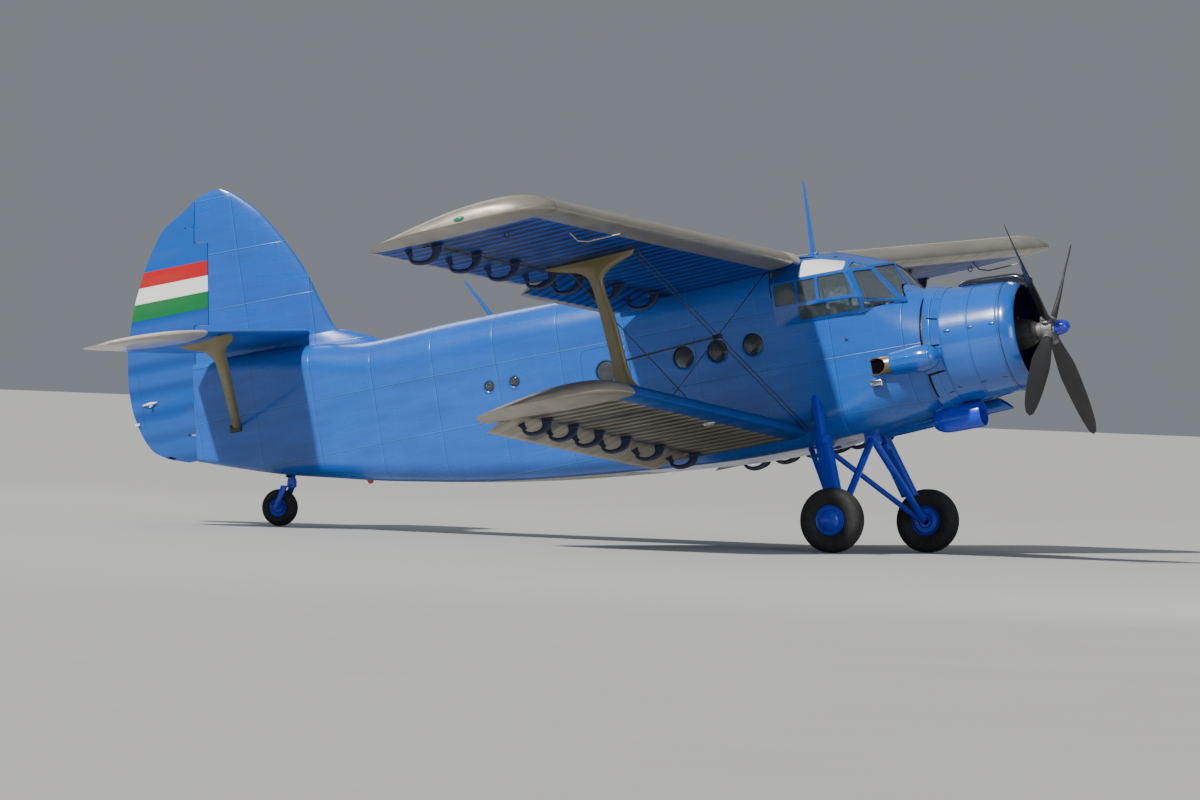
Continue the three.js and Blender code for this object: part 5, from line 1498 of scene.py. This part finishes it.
# Openings in the frames, as outlines from the side and from the front, and the masts behind them
glazing = {
    "frame": 0.022, "pane": (0.012, 0.016),
    "sidePanes": [
        [(0.015, 2.872), (0.455, 2.865), (0.372, 3.150), (0.015, 3.150)],
        [(-0.028, 2.872), (-0.028, 3.150), (-0.275, 3.145), (-0.275, 2.876)],
        [(-0.315, 2.876), (-0.315, 3.145), (-0.602, 3.14), (-0.602, 2.882)],
        [(-0.30, 2.665), (0.485, 2.665), (0.500, 2.812), (-0.30, 2.832)],
        [(0.575, 2.782), (0.905, 2.735), (0.69, 3.150), (0.455, 3.150)],
        [(0.40, 3.19), (0.62, 3.185), (0.56, 3.235), (0.385, 3.285)],
        [(0.545, 2.665), (0.86, 2.688), (0.86, 2.706), (0.545, 2.752)],
    ],
    "frontPane": [(0.022, 2.80), (0.545, 2.742), (0.575, 3.180), (0.022, 3.22)],
    "roofPanel": [(-0.25, 3.19), (0.35, 3.19), (0.31, 3.305), (0.0, 3.385), (-0.25, 3.412)],
}
masts = {
    "front": [(-0.34, 0, 3.50), (-0.336, 0, 3.75), (-0.330, 0, 4.1), (-0.324, 0, 4.445)],
    "frontSize": [(0.036, 0.016), (0.032, 0.014), (0.024, 0.011), (0.015, 0.007)],
    "foot": [(-0.40, -0.035, 3.515), (-0.28, 0.035, 3.535)],
    "rear": [(-4.732, 0, 3.47), (-4.89, 0, 3.743), (-5.049, 0, 4.016)],
    "rearSize": [(0.032, 0.015), (0.026, 0.012), (0.014, 0.007)],
    "collar": {"centre": (-4.742, 0, 3.488), "radius": 0.07, "squash": (1.2, 0.7, 0.5)},
}


def makeCanopy():
    cage = carve(insetHull(0.0), insetHull(glazing["frame"], 0.1))
    cuts = []
    for points in glazing["sidePanes"]:
        cuts += [roundedPane(points, 0.62, 1.2), roundedPane(points, -1.2, -0.62)]
    for side in (1, -1):
        cuts.append(roundedPane([(side * y, z) for y, z in glazing["frontPane"]], 0.62, 1.2, "x"))
    cage = carve(carve(cage, *cuts), noseEnd(fuselage["wall"], -0.9))
    place(cage, "canopy frames", canopyPaint, ["canopy_frame"], 30)
    outer, inner = glazing["pane"]
    pane = carve(insetHull(outer), insetHull(inner, 0.1), noseEnd(0, -0.9))
    place(pane, "canopy panes", canopyGlass, ["canopy_glass"], 20)
    # an opaque white sheet just outside the roof-side panes
    whiteRoofSheet = roundedPane(glazing["roofPanel"], 0.4, 1.2)
    whiteRoofSheet = carve(carve(insetHull(-0.002), insetHull(0.0, 0.1)), whiteRoofSheet, keep=True)
    placePair(whiteRoofSheet, "roof panel", whitePaint)
    mast = swept(masts["front"], masts["frontSize"], (0, 1, 0), 20)
    rear = swept(masts["rear"], masts["rearSize"], (0, 1, 0), 20)
    both = join(mast, block(*masts["foot"], 0.006), rear, ball(**masts["collar"]))
    place(both, "aerial masts", framePaint)


# Struts and wires between the wings
bracing = {
    "strutY": 4.8, "spread": 0.03, "radius": 0.006, "crossingZ": 2.89,
    # z, front, rear, thickness
    "strut": [
        (1.64, -0.60, -1.50, 0.052), (1.74, -0.64, -1.45, 0.056), (1.79, -0.85, -1.42, 0.066),
        (1.90, -1.01, -1.345, 0.076), (2.03, -1.09, -1.31, 0.076), (2.69, -1.17, -1.36, 0.076),
        (3.25, -1.262, -1.44, 0.076), (3.37, -1.13, -1.56, 0.072), (3.44, -0.955, -1.85, 0.062),
        (3.49, -0.83, -2.00, 0.050), (3.64, -0.80, -2.05, 0.046),
    ],
    # ends of the wires on the port side: twin flying wire, landing wire and rear flying wire
    "flying": [(-0.85, 4.75, 3.56), (-0.44, 0.84, 1.29)],
    "landing": [(-0.675, 0.70, 3.40), (-0.64, 4.70, 1.72)],
    "rear": [(-1.76, 4.75, 3.50), (-1.50, 0.84, 1.31)],
    # how far a thicker end reaches along its wire, and its two radii
    "twinEnd": (0.10, 0.30, 0.011, 0.008), "singleEnd": (0.14, 0.32, 0.010, 0.007),
    "clamp": (0.06, 0.026), "plate": (0.055, 0.035, 0.012), "steadyFoot": (-1.22, 4.8, 2.23),
}


def wireEnds(a, b, near, far, radius, endRadius, shift=Vector()):
    ends = []
    for start, end in ((a, b), (b, a)):
        toward = (end - start).normalized()
        ends.append(rod(start + shift + toward * near, start + shift + toward * far, radius, endRadius, 14))
    return ends


# The skins that the wires end in
def wireCutters():
    wings = [moved(wholeWing(wing, 12, False), wingMatrix(wing)) for wing in (upperWing, lowerWing)]
    return [middleBody(), *wings]


def makeBracing():
    strut = streamlined(bracing["strut"], lambda x, y, z: Vector((x, bracing["strutY"] + y, z)), 40, 110)
    wings = [moved(wholeWing(wing, 16), wingMatrix(wing)) for wing in (upperWing, lowerWing)]
    placePair(carve(strut, *wings), "wing strut", strutPaint, "interplane_strut", 40)
    top, foot = [Vector(point) for point in bracing["flying"]]
    crossing = top.lerp(foot, (bracing["crossingZ"] - top.y) / (foot.y - top.y))
    wires, ends = [], []
    for dx in (-bracing["spread"], bracing["spread"]):
        shift = Vector((dx, 0, 0))
        wires.append(rod(top + shift, foot + shift, bracing["radius"], segments=12))
        ends += wireEnds(top, foot, *bracing["twinEnd"], shift)
    for name in ("landing", "rear"):
        ends += wireEnds(*[Vector(point) for point in bracing[name]], *bracing["singleEnd"])
    wires.append(rod(*bracing["landing"], bracing["radius"], segments=12))
    half, radius = bracing["clamp"]
    plate = Vector(bracing["plate"])
    clamp = rod(crossing + Vector((-half, 0, 0)), crossing + Vector((half, 0, 0)), radius, segments=24)
    clamp = join(clamp, block(crossing - plate, crossing + plate, 0.006))
    steady = rod(crossing, bracing["steadyFoot"], 0.012, segments=16)
    rear = rod(*bracing["rear"], bracing["radius"], segments=12)
    placePair(carve(join(*wires), *wireCutters()), "bracing wires", wireSteel, "bracing_wires")
    placePair(join(clamp, steady), "wire clamp", wireSteel)
    placePair(join(*ends), "wire ends", blackPaint)
    placePair(carve(rear, *wireCutters()), "rear wire", wireSteel, "rear_flying_wire")


# Landing gear
gear = {
    "wheel": (0.0, 1.68, 0.10), "footY": 1.4775,
    # start, end, radius, segments
    "leg": [
        ((-0.30, 0.79, 1.74), (-0.182, 1.095, 1.08), 0.062, 40),
        ((-0.182, 1.06, 1.13), (-0.168, 1.10, 1.05), 0.092, 40),
        ((-0.20, 1.04, 1.17), (0.0, 1.4775, 0.10), 0.050, 32),
        ((0.0, 1.42, 0.10), (0.0, 1.535, 0.10), 0.072, 40), ((0.0, 1.51, 0.10), (0.0, 1.73, 0.10), 0.045, 32),
    ],
    # z, front, rear, thickness
    "fairing": [(0.42, 0.055, -0.175, 0.124), (1.19, -0.095, -0.305, 0.130)],
    "bracket": [(-0.02, -0.075, 1.04), (0.15, 0.075, 1.20)], "veeTop": (0.06, 0.03, 1.11), "vee": 0.046,
    "pin": {"x": (-0.03, 0.16), "y": 0.05, "z": 1.09, "radius": 0.018},
    "braceTop": (-0.675, 0.25, 1.14), "brace": 0.034, "lug": [(-0.60, 0.27, 1.10), (-0.50, 0.40, 1.17)],
}
# radius and distance along the axle
mainTyre = {
    "side": [
        (0.190, -0.080), (0.222, -0.100), (0.262, -0.118), (0.30, -0.126), (0.340, -0.122), (0.376, -0.098),
        (0.394, -0.066),
    ],
    "ribs": (-0.048, -0.016, 0.016, 0.048), "seat": [(0.178, 0.074), (0.178, -0.074)],
}
mainHub = {
    "inner": [
        (0.050, 0.06), (0.050, -0.095), (0.08, -0.095), (0.09, -0.055), (0.162, -0.056), (0.168, -0.07),
        (0.176, -0.082), (0.184, -0.086), (0.187, -0.080), (0.178, -0.072), (0.178, 0.072), (0.187, 0.080),
        (0.184, 0.090),
    ],
    "dish": [(0.177, 0.091), (0.168, 0.084), (0.162, 0.074), (0.156, 0.071)],
    "cap": [(0.138, 0.078), (0.134, 0.100), (0.112, 0.124), (0.070, 0.142), (0.030, 0.149), (0.0, 0.150)],
    "drum": [(0.092, -0.10), (0.145, -0.10), (0.155, -0.09), (0.155, -0.06), (0.092, -0.06)],
    "bolts": 12, "boltRing": 0.151, "bolt": 0.006,
}


def rods(rows):
    return join(*[rod(start, end, radius, segments=count) for start, end, radius, count in rows])


# Half a tyre's outline with its mirror image, the tread between them and the seat on the rim
def tyreRing(side, tread, seat):
    outside = profile(side, 4)
    return outside + tread + [(r, -t) for r, t in reversed(outside)] + seat


def makeMainGear():
    x, y, z = gear["wheel"]
    foot = (x, gear["footY"], z)
    leg = carve(rods(gear["leg"]), noseEnd())
    fairing = streamlined(gear["fairing"], legPoint, 36, 20)
    placePair(leg, "shock strut", bluePaint, "shock_strut")
    placePair(fairing, "leg fairing", bluePaint)
    topX, topY, topZ = gear["veeTop"]
    (rear, front), across, height, radius = [gear["pin"][key] for key in ("x", "y", "z", "radius")]
    tubes, pins = [], []
    for side in (1, -1):
        start, end = (topX, side * topY, topZ), (x + 0.02, side * foot[1], z + 0.02)
        tubes.append(rod(start, end, gear["vee"], segments=32))
        pins.append(rod((rear, side * across, height), (front, side * across, height), radius, segments=16))
    vee = carve(join(*tubes), noseEnd())
    bracket = carve(block(*gear["bracket"], 0.012), noseEnd())
    place(join(vee, bracket, *pins), "axle vee", bluePaint, ["half_axles"])
    brace = carve(rod(gear["braceTop"], (x - 0.02, foot[1], z + 0.01), gear["brace"], segments=28), noseEnd())
    placePair(brace, "rear brace", bluePaint, "rear_brace")
    placePair(carve(block(*gear["lug"], 0.012), noseEnd(0)), "brace lug", navyPaint)

    tread = []
    for k in mainTyre["ribs"]:
        tread += [(0.399, k - 0.0125), (0.400, k - 0.009), (0.400, k + 0.009), (0.399, k + 0.0125), (0.392, k + 0.013)]
        if k < mainTyre["ribs"][-1]:
            tread.append((0.392, k + 0.019))
    ring = tyreRing(mainTyre["side"], tread, mainTyre["seat"])
    tyre = turned(ring, gear["wheel"], (0, 1, 0), 96, closed=True)
    placePair(tyre, "main tyre", tyreRubber, "main_tyre", 45, body="main_wheel")
    dish, cap = profile(mainHub["dish"], 3), profile(mainHub["cap"], 4)
    hub = turned(mainHub["inner"] + dish + [(0.142, 0.072)] + cap + [(0.0, 0.06)], gear["wheel"], (0, 1, 0), 72)
    bolts = [
        rod((x + a, y + 0.070, z + b), (x + a, y + 0.080, z + b), mainHub["bolt"], segments=6)
        for a, b in ringOf(mainHub["bolts"], mainHub["boltRing"], 0.5)
    ]
    placePair(join(hub, *bolts), "main hub", bluePaint, "main_hub", 35, body="main_wheel")
    drum = turned(mainHub["drum"], gear["wheel"], (0, 1, 0), 64, closed=True)
    placePair(drum, "brake drum", bluePaint, sharp=35, body="main_wheel")


def legPoint(x, across, z):
    return Vector((x, 1.04 + (1.19 - z) * 0.3948 + across, z))


# In the castor's own axes the leg stands upright; the wheel is in the airframe's
tailGear = {
    "castor": (-7.83, 0, 1.86), "wheel": (-8.04, 0.0, 1.61),
    "leg": [
        ((0, 0, 0.0003), (0, 0, 0.06), 0.062, 40), ((0, 0, 0.04), (-0.03, 0, 0.33), 0.048, 32),
        ((0, 0, 0.058), (-0.002, 0, 0.085), 0.056, 32),
    ],
    "boot": [
        (0.052, 0.10), (0.066, 0.12), (0.056, 0.14), (0.070, 0.16), (0.060, 0.18), (0.076, 0.20), (0.066, 0.23),
    ],
    "tyre": [(0.118, -0.064), (0.140, -0.085), (0.165, -0.096), (0.195, -0.091), (0.222, -0.064), (0.232, -0.034)],
    "tread": [(0.235, -0.026), (0.235, -0.012), (0.230, -0.009), (0.230, 0.009), (0.235, 0.012), (0.235, 0.026)],
    "seat": [(0.1115, 0.06), (0.1115, -0.06)],
    "hub": [(0.117, 0.066), (0.108, 0.062), (0.09, 0.052), (0.07, 0.042), (0.06, 0.07), (0.024, 0.07)],
}


def makeTailGear():
    castor = Matrix.Translation(tailGear["castor"]) @ Matrix.Rotation(pitch, 4, "Y")
    leg = rods(tailGear["leg"])
    boot = profile(tailGear["boot"], 4) + [(0.045, 0.23), (0.045, 0.10)]
    boot = turned(boot, (-0.012, 0, 0), (-0.09, 0, 1), 40, closed=True)
    place(carve(moved(leg, castor), tailEnd(snug, front=-4.9)), "tail leg", bluePaint, ["tail_leg"])
    place(carve(moved(boot, castor), tailEnd(front=-4.9)), "tail leg boot", blackPaint)
    place(dressed("tail_fork", 0.004), "tail fork", bluePaint, ["tail_fork"], level=False, body="castor")
    ring = tyreRing(tailGear["tyre"], tailGear["tread"], tailGear["seat"])
    tyre = turned(ring, tailGear["wheel"], (0, 1, 0), 72, closed=True)
    place(tyre, "tail tyre", tyreRubber, ["tail_tyre"], 45, body="tail_wheel")
    hub = tailGear["hub"] + [(r, -t) for r, t in reversed(tailGear["hub"])]
    hub = turned(hub, tailGear["wheel"], (0, 1, 0), 56, closed=True)
    place(hub, "tail hub", bluePaint, ["tail_hub"], 35, body="tail_wheel")


# A piece of the frame, its facets joined and its edges rounded
def dressed(name, width, angle=28):
    source = frame["nodes"][name]
    bm = bmesh.new()
    bm.from_mesh(source.data)
    bm.transform(source.matrix_world)
    bmesh.ops.remove_doubles(bm, verts=bm.verts, dist=0.00005)
    bmesh.ops.dissolve_limit(bm, angle_limit=radians(1.0), verts=bm.verts, edges=bm.edges)
    return bevelEdges(bm, width, 2, angle)


blade = {
    "x": thrust["x"], "blades": 4, "rest": 40, "cuffBolts": 6, "bossBolts": 8,
    "cuff": [
        (0.0, 0.02), (0.062, 0.02), (0.062, 0.13), (0.07, 0.135), (0.07, 0.165), (0.06, 0.17), (0.056, 0.20),
        (0.0, 0.20),
    ],
    # distance out, chord, thickness, pitch
    "rows": [
        (0.09, 0.11, 0.096, 60), (0.33, 0.165, 0.062, 52), (0.76, 0.262, 0.036, 38), (1.25, 0.245, 0.022, 28),
        (1.58, 0.165, 0.013, 23), (1.675, 0.07, 0.008, 22),
    ],
}


def makePropeller():
    start, end = blade["rows"][0][0], blade["rows"][-1][0]

    def bladePoint(u, v):
        r = start + (end - start) * v
        chord, thick, turn = smoothRow(blade["rows"], r)
        outline = u * 2
        share = (outline if outline <= 1 else 2 - outline) ** 2
        half = smoothRow(symmetric, sqrt(share))[0] * thick * (1 if outline <= 1 else -1)
        a = chord / 2 - share * chord
        c, sn = cos(radians(turn)), sin(radians(turn))
        return Vector((a * sn + half * c, half * sn - a * c, r))

    blades, cuffs = [], []
    middle = Matrix.Translation((blade["x"], 0, thrust["z"]))
    for i in range(blade["blades"]):
        turn = middle @ Matrix.Rotation(radians(blade["rest"] + 360 * i / blade["blades"]), 4, "X")
        blades.append(moved(wrapped(bladePoint, 32, 44), turn))
        cuffs.append(moved(turned(blade["cuff"], (0, 0, 0), (0, 0, 1), 32), turn))
        for spot in ringOf(blade["cuffBolts"], 0.064):
            cuffs.append(moved(rod((*spot, 0.128), (*spot, 0.172), 0.007, segments=8), turn))
    place(join(*blades), "propeller blades", bladePaint, ["propeller"], 60, body="propeller")
    front = blade["x"]
    boss = turned([
        (0, 2.4405), (0.10, 2.4405), (0.104, 2.46), (0.104, front - 0.085), (0.128, front - 0.07),
        (0.13, front - 0.05), (0.13, front + 0.045), (0.124, front + 0.06), (0.095, front + 0.07),
        (0.095, front + 0.0895), (0, front + 0.0895),
    ], centreLine, steps=56)
    bolts = []
    for a, b in ringOf(blade["bossBolts"], 0.112, 0.5):
        spot = (a, thrust["z"] + b)
        bolts.append(rod((front + 0.05, *spot), (front + 0.078, *spot), 0.010, segments=6))
    place(join(boss, *cuffs, *bolts), "propeller hub", greyCasting, sharp=35, body="propeller")
    dome = turned([(0, front + 0.0905), (0.09, front + 0.0905)] + profile([
        (0.094, front + 0.105), (0.092, front + 0.135), (0.090, front + 0.18), (0.076, 2.815), (0.050, 2.842),
        (0.022, 2.850),
    ], 5) + [(0.020, 2.858), (0.012, 2.860), (0, 2.860)], centreLine, steps=56)
    place(dome, "spinner dome", spinnerPaint, ["spinner_dome"], 45, body="propeller")


# Seats, panel, controls and cabin floor, seen through the glazing
inside = {
    "dialRows": (2.52, 2.42, 2.33), "dialPitch": 0.115, "dialX": 0.6395,
    "dial": [(0, 0.0), (0.043, 0.0), (0.046, 0.006), (0.040, 0.008), (0.038, 0.003), (0, 0.003)],
    "seatY": 0.425, "wheelX": 0.36,
    # the control wheel's open rim from its middle, y and z
    "wheel": [(-0.13, 2.44), (-0.16, 2.36), (-0.10, 2.28), (0, 2.31), (0.10, 2.28), (0.16, 2.36), (0.13, 2.44)],
    "strips": 8, "firstStrip": -0.9, "stripPitch": 0.36, "hoopX": (-1.22, -1.70, -2.16, -3.76),
    "legX": (-0.85, -1.45, -2.0),
}


# Frame round the cabin just inside its skin
def hoop(x):
    def at(u, v):
        outer, inner = [fuselagePoint(x, u if u < 1 else 0.0, inset) for inset in (liningAndInnerShade["inset"], 0.075)]
        corner = [outer, outer, inner, inner, outer][min(round(v * 4), 4)].copy()
        corner.x = x + (0.015 if round(v * 4) in (0, 3, 4) else -0.015)
        return corner

    return wrapped(at, 72, 4, False)


def makeInside():
    panel = dressed("instrument_panel", 0.012)
    place(panel, "instrument panel", blackPaint, ["instrument_panel"], level=False)
    dials = [
        turned(inside["dial"], (inside["dialX"], k * inside["dialPitch"], z), (-1, 0, 0), 28)
        for z in inside["dialRows"] for k in range(-4, 5)
    ]
    place(join(*dials), "dials", dialFace)
    for side in sides:
        seat = dressed(f"pilot_seat_{side}", 0.02)
        place(seat, f"pilot seat {side}", seatHide, [f"pilot_seat_{side}"], level=False)
    belts, yokes = [], []
    x = inside["wheelX"]
    for y in (inside["seatY"], -inside["seatY"]):
        for dy in (-0.12, 0.12):
            belts.append(block((-0.262, y + dy - 0.022, 2.235), (-0.20, y + dy + 0.022, 2.242), 0.002))
            belts.append(swept([(-0.225, y + dy, 2.86), (-0.195, y + dy, 2.6), (-0.165, y + dy, 2.30)], (0.003, 0.022)))
        yokes.append(rod((0.50, y, 1.78), (0.47, y, 2.34), 0.022, segments=20))
        yokes.append(rod((0.47, y, 2.33), (x, y, 2.35), 0.016, segments=16))
        rim = smoothLine([(x, y + across, z) for across, z in inside["wheel"]], 6)
        yokes.append(swept(rim, 0.014, (1, 0, 0), 12))
    place(join(*belts), "seat belts", beltWeb)
    place(join(*yokes), "control columns", blackPaint)
    place(dressed("cabin_floor", 0.002), "cabin floor", greyPaint, ["cabin_floor"], level=False)
    strips = []
    for x in [inside["firstStrip"] - inside["stripPitch"] * k for k in range(inside["strips"])]:
        strips.append(block((x - 0.012, -0.74, 1.3905), (x + 0.012, 0.74, 1.397), 0.002))
    place(join(*strips), "floor strips", steelBare)
    place(join(*[hoop(x) for x in inside["hoopX"]]), "cabin hoops", greyPaint)
    bench = []
    for side in (1, -1):
        bench.append(block((-2.12, side * 0.60 - 0.14, 1.80), (-0.75, side * 0.60 + 0.14, 1.835), 0.012))
        for x in inside["legX"]:
            bench.append(rod((x, side * 0.50, 1.39), (x, side * 0.50, 1.80), 0.012, segments=12))
    place(join(*bench), "cabin benches", seatHide)


# Lights, pitot heads, rings, handles and hinges; those on a wing are in its own axes
fittings = {
    "tipLight": {"centre": (-0.98, 9.075, 0.035), "radius": 0.05, "squash": (1.6, 0.8, 0.6), "segments": 20},
    "beacon": [(0.042, 0.0), (0.040, 0.03), (0.028, 0.058), (0.0, 0.068)], "beaconAt": (-6.746, 0, 1.765),
    "pitot": [(-0.50, 6.9, -0.045), (-0.42, 6.9, -0.16), (-0.30, 6.9, -0.20), (0.12, 6.9, -0.205)],
    "pitotSize": [(0.014, 0.010), (0.012, 0.010), (0.011, 0.011), (0.009, 0.009)],
    "ring": (0.03, 0, 0.006), "ringAt": (-0.9, 7.9, -0.075),
    "lamp": [(0.075, 0.0), (0.06, 0.02), (0.0, 0.03)], "lampAt": (-0.30, 3.3, -0.042),
    "lampBack": [(0, -0.02), (0.08, -0.02), (0.08, 0.0)],
    # name, body, two corners, rounding
    "handles": [
        ("passenger door handle", "passenger_door", (-2.36, 0.868, 2.16), (-2.28, 0.892, 2.185), 0.006),
        ("cargo door handle", "cargo_door", (-3.66, 0.868, 2.2), (-3.58, 0.892, 2.225), 0.006),
    ],
    "hatchHandle": [(-2.70, -0.892, 2.70), (-2.68, -0.868, 2.76)],
    "knuckle": 0.045, "knucklePitch": 0.0453, "knuckleRadius": 0.014, "pinY": 0.878,
    "strip": {"front": -3.0, "length": 5.9, "wide": 0.09},
}


def makeSmallFittings():
    upper, lower = wingMatrix(upperWing), wingMatrix(lowerWing)
    for side, sign in sides.items():
        turn = mirrorY if sign < 0 else Matrix()
        lamp = moved(ball(**fittings["tipLight"]), turn @ upper)
        place(lamp, f"tip light {side}", greenLamp if side == "starboard" else redLamp)
    beacon = turned(profile(fittings["beacon"], 4) + [(0, 0)], fittings["beaconAt"], (0.2, 0, -1), 28)
    place(beacon, "belly beacon", redLamp)
    pitot = swept(fittings["pitot"], fittings["pitotSize"], (0, 1, 0), 14)
    placePair(moved(pitot, upper), "pitot head", steelBare)
    ring = turned(arcProfile(*fittings["ring"]), fittings["ringAt"], (0, 1, 0), 28, closed=True)
    placePair(moved(ring, upper), "picket ring", blackPaint)
    lamp = turned(profile(fittings["lamp"], 4) + fittings["lampBack"], fittings["lampAt"], (0.1, 0, -1), 36)
    placePair(moved(lamp, lower), "landing lamp", lampGlass)
    for name, body, low, high, rounding in fittings["handles"]:
        place(block(low, high, rounding), name, steelBare, body=body)
    # each hinge of the cargo door has two knuckles on the frame and one on the door between them
    x, y, pitch, long = cargoDoor["rear"] - 0.0035, fittings["pinY"], fittings["knucklePitch"], fittings["knuckle"]
    outer, leaves = [], []
    for z in (cargoDoor["bottom"] + 0.15, cargoDoor["top"] - 0.285):
        for start, kind in ((z, outer), (z + pitch, leaves), (z + 2 * pitch, outer)):
            kind.append(rod((x, y, start), (x, y, start + long), fittings["knuckleRadius"], segments=24))
    place(join(*outer), "cargo hinge outer knuckles", bluePaint)
    place(join(*leaves), "cargo hinge knuckles", bluePaint, body="cargo_door")
    place(block(*fittings["hatchHandle"], 0.005), "hatch handle", steelBare)
    # silver rubbing strip under the belly, aft of the wing
    front, length, wide = [fittings["strip"][key] for key in ("front", "length", "wide")]
    strip = wrapped(lambda u, v: fuselagePoint(front - length * v, (u - 0.5) * wide % 1.0, -0.0015), 24, 60, False)
    place(strip, "belly strip", stripSilver, recalc=False)


makeTail()
print("tail made")
makeCowling()
makeEngine()
makeScoop()
makeExhaust()
makeCooler()
makeDuct()
makePropeller()
print("nose made")
makeCanopy()
makeInside()
print("cockpit made")
makeBracing()
makeMainGear()
makeTailGear()
makeSmallFittings()
print("struts, gear and fittings made")


# Floor, soft light and the photograph's camera
sky = {"low": 0.25, "high": 0.32, "color": (0.84, 0.90, 1.0)}
lamps = {
    # size is the lamp's side in metres, or the sun's width in degrees
    "key light": {"kind": "SUN", "place": (-10, -26, 30), "size": 2.5, "power": 5.7, "color": (1, 0.97, 0.92)},
    "front fill": {"kind": "AREA", "place": (26, -24, 9), "size": 12, "power": 1700, "color": (0.95, 0.97, 1)},
    "far rim": {"kind": "AREA", "place": (-20, 22, 20), "size": 10, "power": 900, "color": (1, 1, 1)},
}


def makeStudio():
    bm = bmesh.new()
    bmesh.ops.create_grid(bm, x_segments=2, y_segments=2, size=500)
    floor = scratch(bm, "studio_floor")
    material, tree, surface = finish("pale floor", (0.40, 0.40, 0.395), 0.7)
    patches = noise(coordinates(tree), 0.4, 3.0)
    feed(surface, "Base Color", blendColors(patches, (0.38, 0.38, 0.375), (0.42, 0.42, 0.415)))
    floor.data.materials.append(material)
    # sky: dimmer round the horizon than overhead
    world = bpy.data.worlds.new("studio")
    bpy.context.scene.world = world
    world.use_nodes = True
    background = world.node_tree.nodes["Background"]
    up = axes(coordinates(world.node_tree, "Generated"))[2]
    feed(background, 0, (*sky["color"], 1))
    feed(background, 1, ramp(up, 0.02, 0.8, sky["low"], sky["high"], soft=True))
    for name, lamp in lamps.items():
        light = bpy.data.lights.new(name.replace(" ", "_"), lamp["kind"])
        light.energy = lamp["power"]
        light.color = lamp["color"]
        if lamp["kind"] == "SUN":
            light.angle = radians(lamp["size"])
        else:
            light.size = lamp["size"]
        made = bpy.data.objects.new(light.name, light)
        made.location = lamp["place"]
        made.rotation_euler = (Vector((0, 0, 2)) - made.location).to_track_quat("-Z", "Y").to_euler()
        bpy.context.scene.collection.objects.link(made)


photoCamera = {
    # the airframe's heading, nose-up angle and bank before a level camera, in degrees, and where the camera stands
    "heading": -22.187, "noseUp": 9.725, "bank": -0.758, "place": (43.26, -116.14, -7.33),
    "focalPixels": 9982.3, "width": 1200, "sensor": 36,
}


def makeCamera():
    facts = photoCamera
    camera = bpy.data.cameras.new("photograph")
    camera.sensor_width = facts["sensor"]
    camera.lens = facts["focalPixels"] / facts["width"] * facts["sensor"]
    camera.clip_end = 2000
    made = bpy.data.objects.new("photograph", camera)
    bpy.context.scene.collection.objects.link(made)
    heading, noseUp, bank = [radians(facts[key]) for key in ("heading", "noseUp", "bank")]
    turn = Matrix.Rotation(-bank, 4, "X") @ Matrix.Rotation(noseUp, 4, "Y") @ Matrix.Rotation(-heading, 4, "Z")
    lookLevel = Matrix.Rotation(pi / 2, 4, "X")
    made.matrix_world = toRow @ Matrix.Translation(facts["place"]) @ turn @ lookLevel
    bpy.context.scene.camera = made


makeStudio()
makeCamera()
print("studio made")
